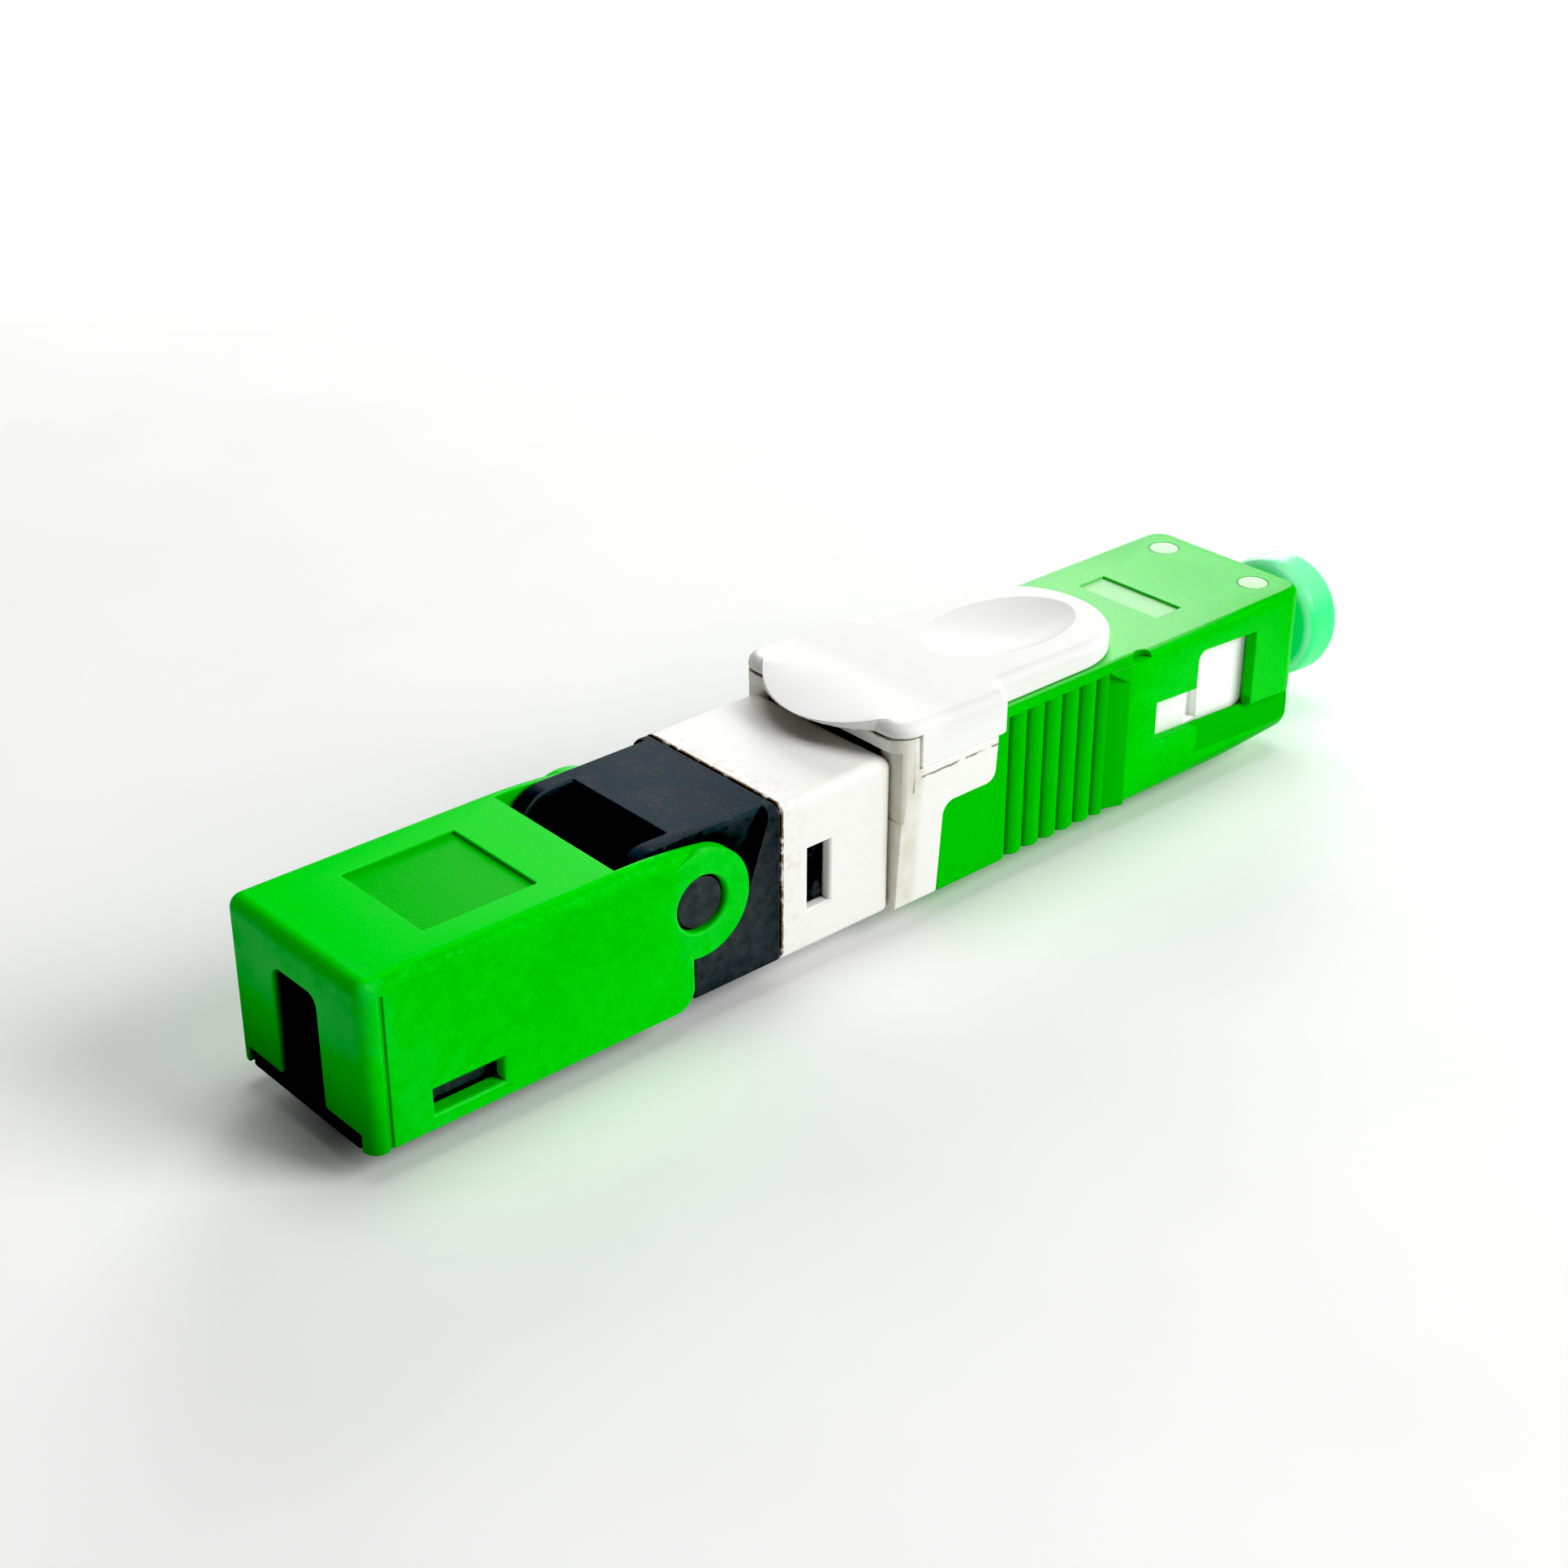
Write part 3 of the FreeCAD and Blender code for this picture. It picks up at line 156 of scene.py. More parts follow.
plasticMix = {
    "flow": 0.35, "mottle": 0.25, "grain": 0.4,    # shares of the three noises in the colour
    "deepAt": 0.36, "colourAt": 0.64,
    "wearLeast": 0.35, "wearMottle": 0.8, "wearShine": 0.1,
    "grimeShadeLeast": 0.45, "grimeShadeMottle": 0.9, "grimeShadeDull": 0.2,
}


def mouldedPlastic(look):                          # grain, flow mottle, worn rims, grime and painted shade in corners
    material, paint, places = newMaterial(look["name"])
    along, across, up = axesOf(places)
    flow = noiseAt(places, look["flowScale"], detail=4.0, roughness=0.6)
    mottle = noiseAt(places, look["mottleScale"], detail=3.0, roughness=0.6)
    grain = noiseAt(places, look["grainScale"], detail=2.0, roughness=0.5)
    stops = [(plasticMix["deepAt"], look["deep"]), (plasticMix["colourAt"], look["colour"])]
    blend = flow * plasticMix["flow"] + mottle * plasticMix["mottle"] + grain * plasticMix["grain"]
    colour = paint.add("ShaderNodeValToRGB", {"stops": stops}, {"Fac": blend})
    rim = paint.add("ShaderNodeAttribute", {"attribute_name": "rim"}, output=2)
    worn = (rim * (mottle * plasticMix["wearMottle"] + plasticMix["wearLeast"])).held() * look["rimWear"]
    colour = colour.toward(look["rimColour"], worn)
    # crevice grime with painted shade: the colour darkens where the part hides itself, in corners and
    # recesses
    outside = paint.add("ShaderNodeAmbientOcclusion", {"samples": 8, "only_local": True},
                        {"Distance": look["grimeShadeReach"]}, 1)
    corners = (1.0 - outside) * (mottle * plasticMix["grimeShadeMottle"] + plasticMix["grimeShadeLeast"])
    grimeShade = corners.band(look["grimeShadeStart"], 1.0) * look["grimeShadeAmount"]
    colour = colour.toward(look["grimeShadeColour"], grimeShade)
    rough = (mottle - 0.5) * look["roughVary"] + look["rough"]
    rough = rough + grimeShade * plasticMix["grimeShadeDull"] - worn * plasticMix["wearShine"]
    for spot in look["marks"]:                     # dirt lines, dust, rubbed edges, smoother faces, painted shade and painted highlights
        cloud = noiseAt(places, spot["scale"], detail=5.0, roughness=0.65)
        mask = cloud.band(spot["low"], spot["high"]) * spot["amount"]
        for axis, (low, high, *own) in spot["box"].items():
            soft = own[0] if own else spot["soft"]  # a side of the box may have a softness of its own
            place = {"x": along, "y": across, "z": up, "aside": across.size()}[axis]
            place = place + (cloud - 0.5) * spot["ragged"]
            mask = mask * place.band(low - soft, low + soft)
            mask = mask * (1.0 - place.band(high - soft, high + soft))
        colour = colour.toward(spot["colour"], mask)
        rough = rough + mask * spot["rough"]
    height = grain * look["grainDepth"] + mottle * look["mottleDepth"] + flow * look["flowDepth"]
    normal = paint.add("ShaderNodeBump", None,
                       {"Strength": look["bump"], "Distance": look["bumpReach"], "Height": height})
    finishMaterial(paint, look["fixed"], {"Base Color": colour, "Roughness": rough.held(), "Normal": normal})
    return material


metalMix = {"stain": 0.6, "lines": 0.4, "deepAt": 0.3, "colourAt": 0.7}


def bareMetal(look):                               # turned or rolled metal with fine lines
    material, paint, places = newMaterial(look["name"])
    turned = paint.add("ShaderNodeMapping", None, {"Vector": places, "Scale": look["stretch"]})
    lines = noiseAt(turned, look["lineScale"], detail=4.0, roughness=0.6)
    stain = noiseAt(places, look["stainScale"], detail=3.0, roughness=0.6)
    stops = [(metalMix["deepAt"], look["deep"]), (metalMix["colourAt"], look["colour"])]
    blend = stain * metalMix["stain"] + lines * metalMix["lines"]
    colour = paint.add("ShaderNodeValToRGB", {"stops": stops}, {"Fac": blend})
    rough = lines * look["roughVary"] + look["rough"]
    normal = paint.add("ShaderNodeBump", None,
                       {"Strength": look["bump"], "Distance": look["bumpReach"], "Height": lines})
    finishMaterial(paint, look["fixed"], {"Base Color": colour, "Roughness": rough.held(), "Normal": normal})
    return material


rounding = {
    "weld": 0.002 * mm,
    "flat": math.radians(0.08),                    # facets closer than this to flat are joined
    "crease": math.radians(28),
    "sharp": math.radians(36.4),                   # edges past this keep a hard line in the shading
    "bend": math.radians(35),                      # most that one edge may turn into the next
    "fold": math.radians(130),
    "probe": 0.02 * mm,
    "step": 0.25 * mm,                             # between the places where the room is measured
    "share": 0.42,                                 # of the room beside an edge that its rounding may take
    "segments": 3,
    "tries": 9,
    "near": 2.0,                                   # widths from a fold at which a run counts as its cause
    "nearLeast": 0.08 * mm,
    "ease": 0.6,
    "giveUp": 0.12,
}


def roomBeside(solid, edge):                       # how far both faces of an edge run before they turn
    start, end = edge.verts[0].co, edge.verts[1].co
    run = (end - start).normalized()
    stops = max(1, math.ceil((end - start).length / rounding["step"]))
    room = openEnd
    for face in edge.link_faces:
        inward = face.normal.cross(run).normalized()
        if edge.link_loops[0].face is face:
            way = edge.link_loops[0]
        else:
            way = edge.link_loops[1]
        if way.vert is not edge.verts[0]:          # a face lies to the left of its own loop
            inward.negate()
        for stop in range(stops):
            place = start.lerp(end, (stop + 0.5) / stops)
            for lift in (rounding["probe"], -rounding["probe"]):
                hit = solid.ray_cast(place + inward * rounding["probe"] * 0.5 + face.normal * lift, inward)
                if hit[0] is not None:
                    room = min(room, hit[3] + rounding["probe"] * 0.5)
    return room


def edgeRuns(shape, chosen):                       # edges that follow each other share one rounding
    lead = {edge: edge for edge in chosen}

    def first(edge):
        while lead[edge] is not edge:
            edge = lead[edge]
        return edge

    for vert in shape.verts:
        here = [edge for edge in vert.link_edges if edge in lead]
        if len(here) == 2:
            ways = [(edge.other_vert(vert).co - vert.co).normalized() for edge in here]
            if ways[0].dot(ways[1]) < -math.cos(rounding["bend"]):
                lead[first(here[0])] = first(here[1])
    runs = {}
    for edge in chosen:
        runs.setdefault(first(edge), []).append(edge)
    return list(runs.values())


def foldedSpots(mesh):                             # places where the rounding has run over itself
    shape = bmesh.new()
    shape.from_mesh(mesh)
    bmesh.ops.triangulate(shape, faces=shape.faces)
    shape.normal_update()
    spots = []
    for edge in shape.edges:
        if edge.calc_face_angle(0.0) > rounding["fold"]:
            spots += [vert.co.copy() for vert in edge.verts]
    shape.free()
    return spots


def touches(edge, spots, reach):
    start, end = edge.verts[0].co, edge.verts[1].co
    for spot in spots:
        foot, share = intersect_point_line(spot, start, end)
        foot = start if share < 0 else end if share > 1 else foot
        if (spot - foot).length < reach:
            return True
    return False


def levelNormals(shape, spread):                   # large faces stay flat and roundings run into them
    normals = []
    for face in shape.faces:
        for loop in face.loops:
            fan = {face}
            queue = [face]
            while queue:
                here = queue.pop()
                for edge in loop.vert.link_edges:
                    if edge.smooth and here in edge.link_faces:
                        for other in edge.link_faces:
                            if other not in fan:
                                fan.add(other)
                                queue.append(other)
            total = Vector()
            for other in fan:
                total += other.normal * other[spread] ** 2
            normals.append(total.normalized() if total.length > 0 else face.normal.copy())
    return normals


def freshDish(shape, dish):                        # the hollow in a sloping top, laid again in rings
    top = max(shape.faces, key=lambda face: face.calc_area() if face.normal.z > dish["topFacing"] else 0.0)
    level, normal = top.verts[0].co.copy(), top.normal.copy()
    fall = normal.x / normal.z
    bendAlong = (dish["length"] ** 2 / 4 + dish["depth"] ** 2) / (2 * dish["depth"])
    bendAcross = (dish["width"] ** 2 / 4 + dish["depth"] ** 2) / (2 * dish["depth"])
    floorHeight = level.z - (dish["middle"] - level.x) * fall - dish["depth"]
    hub = Vector((dish["middle"] + bendAlong * fall, 0.0, floorHeight + bendAlong))

    def bottom(place):
        if abs(place.y) >= bendAcross:
            return level.z
        spoke = bendAlong - bendAcross + math.sqrt(bendAcross ** 2 - place.y ** 2)
        return hub.z - math.sqrt(max(0.0, spoke ** 2 - (place.x - hub.x) ** 2))

    def sunk(vert):
        return (level - vert.co).dot(normal)

    def inside(face):
        under = [sunk(vert) for vert in face.verts]
        over = [vert.co.z - bottom(vert.co) for vert in face.verts]
        return min(under) > -dish["near"] and max(under) > dish["near"] and min(over) > -dish["near"]

    hollow = {face for face in shape.faces if inside(face)}
    border = [edge for edge in shape.edges if len(hollow.intersection(edge.link_faces)) == 1]
    middle = Vector((dish["middle"], 0.0, 0.0))
    rim = sorted({vert for edge in border for vert in edge.verts},
                 key=lambda vert: math.atan2(vert.co.y, vert.co.x - middle.x))
    ringed = len(rim) == len(border) and all(abs(sunk(vert)) <= dish["near"] for vert in rim)
    if not rim or not ringed:
        print("dish kept as the solid has it")
        return
    bmesh.ops.delete(shape, geom=list(hollow), context="FACES")
    outer = rim
    for share in dish["rings"]:
        inner = []
        for vert in rim:
            place = middle.lerp(vert.co, share)
            inner.append(shape.verts.new((place.x, place.y, bottom(place))))
        for index in range(len(rim)):
            shape.faces.new((outer[index - 1], outer[index], inner[index], inner[index - 1]))
        outer = inner
    last = shape.verts.new((middle.x, middle.y, bottom(middle)))
    for index in range(len(rim)):
        shape.faces.new((outer[index - 1], outer[index], last))
    shape.normal_update()
    print("dish laid on", len(rim), "rim points")


def moulding(piece, skin):                         # a CAD solid's copy with softened edges
    shape = bmesh.new()
    shape.from_mesh(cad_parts[piece["node"]].data)
    bmesh.ops.remove_doubles(shape, verts=shape.verts, dist=rounding["weld"])
    bmesh.ops.dissolve_limit(shape, angle_limit=rounding["flat"], verts=shape.verts, edges=shape.edges)
    shape.normal_update()
    if "dish" in piece:
        freshDish(shape, piece["dish"])
    solid = BVHTree.FromBMesh(shape)
    weight = shape.edges.layers.float.new("bevel_weight_edge")
    creased = [edge for edge in shape.edges if edge.calc_face_angle(0.0) > rounding["crease"]]
    runs = edgeRuns(shape, [edge for edge in creased if edge.is_convex])
    for run in runs:
        room = min(roomBeside(solid, edge) for edge in run)
        for edge in run:
            edge[weight] = min(1.0, room * rounding["share"] / piece["edge"])
    mesh = bpy.data.meshes.new(piece["name"])
    mesh.materials.append(skin)
    mesh.materials.append(skin)                    # the second slot marks the rounded strips
    made = bpy.data.objects.new(piece["name"], mesh)
    bpy.context.scene.collection.objects.link(made)
    soft = made.modifiers.new("softEdge", "BEVEL")
    soft.limit_method = "WEIGHT"
    soft.width = piece["edge"]
    soft.segments = rounding["segments"]
    soft.use_clamp_overlap = False
    soft.material = 1
    for attempt in range(rounding["tries"]):
        shape.to_mesh(mesh)
        mesh.update()
        seen = made.evaluated_get(bpy.context.evaluated_depsgraph_get())
        done = bpy.data.meshes.new_from_object(seen)
        spots = foldedSpots(done)
        if not spots:
            break
        for run in runs:                           # a run that folds is eased and tried again
            was = run[0][weight]
            reach = max(rounding["near"] * piece["edge"] * was, rounding["nearLeast"])
            if was > 0 and any(touches(edge, spots, reach) for edge in run):
                for edge in run:
                    edge[weight] = was * rounding["ease"] if was > rounding["giveUp"] else 0.0
    shape.free()
    made.modifiers.clear()
    made.data = done
    rounded = bmesh.new()
    rounded.from_mesh(done)
    strips = {vert.index: sum(face.material_index for face in vert.link_faces) / max(1, len(vert.link_faces))
              for vert in rounded.verts}           # share of rounded strips round a point
    rim = rounded.verts.layers.float.new("rim")
    for vert in rounded.verts:
        vert[rim] = strips[vert.index]
    spread = rounded.faces.layers.float.new("spread")
    for face in rounded.faces:
        face[spread] = face.calc_area() / mm ** 2
    bmesh.ops.triangulate(rounded, faces=[face for face in rounded.faces if face.material_index == 0])
    rounded.normal_update()
    for face in rounded.faces:
        face.material_index = 0
        face.smooth = True
    for edge in rounded.edges:
        edge.smooth = edge.calc_face_angle(0.0) < rounding["sharp"]
    normals = levelNormals(rounded, spread)
    rounded.to_mesh(done)
    rounded.free()
    done.normals_split_custom_set(normals)
    done.materials.pop(index=1)
    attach(made, piece["body"])
    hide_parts(piece["node"])
    print("made", piece["name"], len(done.polygons), "faces,", len(spots), "folds left")
    return made


def newTree(name, sizes):                          # a geometry tree with named inputs for its sizes
    tree = bpy.data.node_groups.new(name, "GeometryNodeTree")
    tree.interface.new_socket("Geometry", in_out="INPUT", socket_type="NodeSocketGeometry")
    tree.interface.new_socket("Geometry", in_out="OUTPUT", socket_type="NodeSocketGeometry")
    for size in sizes:
        tree.interface.new_socket(size, in_out="INPUT", socket_type="NodeSocketFloat")
    start = tree.nodes.new("NodeGroupInput")
    return tree, Wire(tree), {size: Wire(tree, start.outputs[size]) for size in sizes}


def endTree(shape, skin):
    real = shape.add("GeometryNodeRealizeInstances", None, {"Geometry": shape})
    smooth = shape.add("GeometryNodeSetShadeSmooth", None, {"Geometry": real})
    painted = shape.add("GeometryNodeSetMaterial", None, {"Geometry": smooth, "Material": skin})
    end = shape.tree.nodes.new("NodeGroupOutput")
    shape.tree.links.new(painted.socket, end.inputs[0])


def grown(piece, tree):                            # what the tree gives for these sizes, as a plain mesh
    made = bpy.data.objects.new(piece["name"], bpy.data.meshes.new(piece["name"]))
    bpy.context.scene.collection.objects.link(made)
    maker = made.modifiers.new("maker", "NODES")
    maker.node_group = tree
    for socket in tree.interface.items_tree:
        if socket.in_out == "INPUT" and socket.name in piece["sizes"]:
            maker[socket.identifier] = piece["sizes"][socket.name]
    seen = made.evaluated_get(bpy.context.evaluated_depsgraph_get())
    made.data = bpy.data.meshes.new_from_object(seen)
    made.modifiers.clear()
    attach(made, piece["body"])
    print("grown", piece["name"], len(made.data.polygons), "faces")
    return made


def dressNode(node, skin):                         # an inner solid keeps its own mesh
    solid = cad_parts[node]
    solid.data.materials.clear()
    solid.data.materials.append(skin)


plasticFixed = {"Specular IOR Level": 0.14, "IOR": 1.5}


def mark(box, colour, amount, **more):             # a local change of colour and roughness
    return {"box": box, "colour": colour, "amount": amount, "scale": 1500.0, "low": 0.0, "high": 0.01,
            "ragged": 0.0, "soft": 0.02 * mm, "rough": 0.0, **more}


def dirtLine(axis, at, width, amount, more=None):
    return mark({axis: (at - width, at + width), **(more or {})}, rgb(0.13, 0.07, 0.025), amount,
                scale=1300.0, low=0.36, high=0.52, ragged=0.22 * mm, soft=0.03 * mm, rough=0.2)


tailCover = {"name": "tailCover", "node": "tail_cover", "body": "tail", "slot": "green_plastic",
             "edge": 0.16 * mm}
tailLow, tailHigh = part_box("tail_cover")
recess = {"rear": 3.95 * mm, "length": 5.1 * mm, "half": 2.65 * mm, "low": 0.3 * mm, "high": 0.08 * mm}
slot = {"depth": 0.16 * mm, "reach": 6.0 * mm, "half": 1.62 * mm, "top": 6.9 * mm}
gateMark = {"across": 3.19 * mm, "up": 5.8 * mm, "half": 0.42 * mm, "deep": 0.02 * mm}
rearFace = {"deep": 0.12 * mm, "paintedShadeBand": 0.25 * mm, "paintedSheenFrom": 5.0 * mm, "paintedShadeTo": 3.2 * mm}
tailRim = {"across": 0.62 * mm, "down": 0.5 * mm, "top": 0.06 * mm}
tailGreen = {
    "name": "tailGreen",
    "colour": rgb(0.0, 0.61, 0.004), "deep": rgb(0.0, 0.45, 0.003),
    "flowScale": 130.0, "mottleScale": 1900.0, "grainScale": 9000.0,
    "rimColour": rgb(0.10, 0.80, 0.12), "rimWear": 0.5,
    "grimeShadeColour": rgb(0.0, 0.09, 0.003), "grimeShadeReach": 0.45 * mm, "grimeShadeStart": 0.2, "grimeShadeAmount": 0.85,
    "marks": [
        mark({"x": (tailLow.x + recess["rear"], tailLow.x + recess["rear"] + recess["length"]),
              "aside": (-recess["half"], recess["half"]),
              "z": (tailHigh.z - recess["low"], tailHigh.z - recess["high"])},
             rgb(0.0, 0.46, 0.004), 0.8, rough=-0.08),
        mark({"aside": (tailHigh.y - tailRim["across"], openEnd),
              "z": (tailHigh.z - tailRim["down"], openEnd)},
             rgb(0.06, 0.74, 0.07), 0.45, scale=3400.0, low=0.30, high=0.74, soft=0.3 * mm, rough=0.1),
        # painted shade: the whole rear face darker, as it faces away from the lamps
        mark({"x": (-openEnd, tailLow.x + rearFace["paintedShadeBand"])}, rgb(0.0, 0.40, 0.012), 0.5,
             scale=260.0, low=0.2, high=0.75, soft=0.25 * mm),
        # painted sheen: the upper rear face paler, a painted reflection of the bright surroundings
        mark({"x": (-openEnd, tailLow.x + rearFace["deep"]), "z": (rearFace["paintedSheenFrom"], openEnd)},
             rgb(0.10, 0.66, 0.16), 0.8, scale=500.0, low=0.1, high=0.6, soft=1.5 * mm),
        # painted shade: the rear face darkens towards the bottom
        mark({"x": (-openEnd, tailLow.x + rearFace["deep"]), "z": (-openEnd, rearFace["paintedShadeTo"])},
             rgb(0.0, 0.03, 0.003), 0.95, soft=2.2 * mm),
        # painted highlight: the tail's top face paler, as if lit from above
        mark({"z": (tailHigh.z - tailRim["top"], openEnd)}, rgb(0.0, 0.72, 0.012), 0.7,
             scale=900.0, low=0.1, high=0.5, soft=0.05 * mm),
        # painted shade: the cable slot's inside darkened where shade falls
        mark({"x": (tailLow.x + slot["depth"], tailLow.x + slot["reach"]),
              "aside": (-slot["half"], slot["half"]), "z": (-openEnd, slot["top"])},
             rgb(0.0, 0.08, 0.003), 0.85, soft=0.14 * mm, rough=0.15),
        mark({"x": (-openEnd, tailLow.x + gateMark["deep"]),
              "y": (gateMark["across"] - gateMark["half"], gateMark["across"] + gateMark["half"]),
              "z": (gateMark["up"] - gateMark["half"], gateMark["up"] + gateMark["half"])},
             rgb(0.02, 0.42, 0.03), 0.7, scale=2600.0, low=0.3, high=0.7, soft=0.12 * mm, ragged=0.3 * mm,
             rough=0.15),
    ],
    "rough": 0.50, "roughVary": 0.16,
    "grainDepth": 0.7, "mottleDepth": 0.4, "flowDepth": 0.4, "bump": 0.4, "bumpReach": 0.02 * mm,
    "fixed": {"Specular IOR Level": 0.08, "IOR": 1.5},
}
moulding(tailCover, mouldedPlastic(tailGreen))

cableBase = {"name": "cableBase", "node": "cable_base", "body": "body", "slot": "black_plastic",
             "edge": 0.10 * mm}
topFrom = tailHigh.z - 0.25 * mm                   # the base's top is level with the tail's
snapTab = {"rear": -7.6 * mm, "front": -6.2 * mm, "low": 3.0 * mm, "high": 6.1 * mm}
baseBlack = {
    "name": "baseBlack",
    "colour": rgb(0.005, 0.009, 0.011), "deep": rgb(0.002, 0.004, 0.005),
    "flowScale": 260.0, "mottleScale": 2100.0, "grainScale": 8000.0,
    "rimColour": rgb(0.13, 0.14, 0.15), "rimWear": 0.8,
    # grime and painted shade: the base goes near black in its corners and inside its opening
    "grimeShadeColour": rgb(0.0005, 0.0005, 0.001), "grimeShadeReach": 1.2 * mm, "grimeShadeStart": 0.1, "grimeShadeAmount": 0.95,
    "marks": [
        mark({"z": (topFrom, openEnd)}, rgb(0.044, 0.063, 0.076), 0.9,
             scale=700.0, low=0.25, high=0.70, soft=0.1 * mm, rough=0.12),
        mark({"z": (topFrom, openEnd)}, rgb(0.16, 0.165, 0.175), 0.5,
             scale=3200.0, low=0.60, high=0.74, soft=0.1 * mm, rough=0.1),
        mark({"x": (snapTab["rear"], snapTab["front"]), "z": (snapTab["low"], snapTab["high"])},
             rgb(0.008, 0.006, 0.004), 0.9, scale=900.0, low=0.2, high=0.6, rough=0.2),
    ],
    "rough": 0.60, "roughVary": 0.2,
    "grainDepth": 0.8, "mottleDepth": 0.6, "flowDepth": 0.5, "bump": 0.55, "bumpReach": 0.03 * mm,
    "fixed": {"Specular IOR Level": 0.05, "IOR": 1.5},
}
moulding(cableBase, mouldedPlastic(baseBlack))

mainBody = {"name": "mainBody", "node": "main_body", "body": "body", "slot": "white_plastic",
            "edge": 0.14 * mm}
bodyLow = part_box("main_body")[0]
sliderLow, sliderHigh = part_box("clamp_slider")
pillar = {"rear": -2.335 * mm, "before": 1.0 * mm, "after": 0.5 * mm, "inside": 4.27 * mm}
collarEdge = 1.0 * mm
lipUnder = 9.41 * mm
humpRear = -3.185 * mm
skirt = {"rear": -1.985 * mm, "seamRear": -1.9 * mm, "seamFront": 4.0 * mm}
dirt = {"collar": 0.12 * mm, "seam": 0.05 * mm, "underLip": 0.07 * mm, "pastHump": 0.12 * mm,
        "underSkirt": 0.03 * mm}
bodyWhite = {
    "name": "bodyWhite",
    "colour": rgb(0.86, 0.86, 0.835), "deep": rgb(0.83, 0.825, 0.785),
    "flowScale": 160.0, "mottleScale": 1500.0, "grainScale": 8000.0,
    "rimColour": rgb(0.90, 0.90, 0.87), "rimWear": 0.4,
    "grimeShadeColour": rgb(0.46, 0.41, 0.27), "grimeShadeReach": 0.6 * mm, "grimeShadeStart": 0.22, "grimeShadeAmount": 0.7,
    "marks": [
        # painted shade: beige shade on the pillar's rear rounding, under the hump
        mark({"x": (pillar["rear"] - pillar["before"], pillar["rear"] + pillar["after"]),
              "aside": (pillar["inside"], openEnd)},
             rgb(0.54, 0.51, 0.37), 0.7, scale=500.0, low=0.2, high=0.8, soft=0.25 * mm, rough=0.05),
        mark({"x": (-openEnd, bodyLow.x + collarEdge)}, rgb(0.58, 0.54, 0.43), 0.45,
             scale=2300.0, low=0.48, high=0.72, soft=0.7 * mm, rough=0.1),
        dirtLine("x", bodyLow.x, dirt["collar"], 0.95),
        dirtLine("z", lipUnder - dirt["underLip"], dirt["seam"], 0.6,
                 {"x": (-openEnd, humpRear + dirt["pastHump"])}),
        dirtLine("z", sliderLow.z - dirt["underSkirt"], dirt["seam"], 0.8,
                 {"x": (skirt["seamRear"], skirt["seamFront"])}),
    ],
    "rough": 0.45, "roughVary": 0.14,
    "grainDepth": 0.6, "mottleDepth": 0.4, "flowDepth": 0.4, "bump": 0.3, "bumpReach": 0.02 * mm,
    "fixed": {**plasticFixed, "Subsurface Weight": 0.12, "Subsurface Radius": (0.5, 0.45, 0.35),
              "Subsurface Scale": 1.0 * mm},
}
moulding(mainBody, mouldedPlastic(bodyWhite))

clampSlider = {
    "name": "clampSlider", "node": "clamp_slider", "body": "slider", "slot": "white_plastic",
    "edge": 0.12 * mm,
    "dish": {"middle": sliderHigh.x - 5.3 * mm, "length": 8.4 * mm, "width": 5.0 * mm, "depth": 0.6 * mm,
             "near": 0.003 * mm, "topFacing": 0.9,
             "rings": [0.985, 0.96, 0.92, 0.86, 0.79, 0.71, 0.62, 0.52, 0.41, 0.29, 0.16]},
}
sliderTop = {"rear": -0.6 * mm, "low": 9.3 * mm, "fade": 0.9 * mm}
sliderWhite = {
    **bodyWhite,
    "name": "sliderWhite",
    "colour": rgb(0.835, 0.835, 0.82), "deep": rgb(0.815, 0.815, 0.795),
    "marks": [
        # painted shade: the slider's top toned darker to hold down the light falling on it
        mark({"x": (sliderTop["rear"], openEnd), "z": (sliderTop["low"], openEnd)},
             rgb(0.73, 0.73, 0.715), 0.8, soft=sliderTop["fade"]),
        dirtLine("z", sliderLow.z, dirt["seam"], 0.85),
        dirtLine("z", lipUnder, dirt["seam"], 0.8, {"x": (-openEnd, skirt["rear"])}),
    ],
    "rough": 0.46,
    "fixed": {**bodyWhite["fixed"], "Specular IOR Level": 0.06},
}
moulding(clampSlider, mouldedPlastic(sliderWhite))

gripHousing = {"name": "gripHousing", "node": "grip_housing", "body": "grip", "slot": "green_plastic",
               "edge": 0.14 * mm}
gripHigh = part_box("grip_housing")[1]
gripSkin = gripHigh.y - 0.015 * mm                 # just under the outer side faces
ribs = {"rear": 3.4 * mm, "inside": 3.9 * mm, "valley": 4.2 * mm, "top": gripHigh.z - 0.36 * mm}
sunkBand = {"rear": 9.95 * mm, "front": 11.27 * mm, "inside": 3.95 * mm}
hookRamp = {"rear": 16.1 * mm, "top": 3.75 * mm, "inside": 3.86 * mm}
sunkPanel = {"rear": 7.97 * mm, "length": 1.65 * mm, "half": 2.35 * mm, "low": 0.2 * mm, "high": 0.05 * mm}
gripTop = {"front": gripHigh.x - 6.0 * mm, "fade": 4.0 * mm, "low": gripHigh.z - 0.06 * mm, "soft": 0.05 * mm}
# a deeper green painted as shade on faces turned from the lamps
paintedShadeGreen = rgb(0.0, 0.40, 0.004)
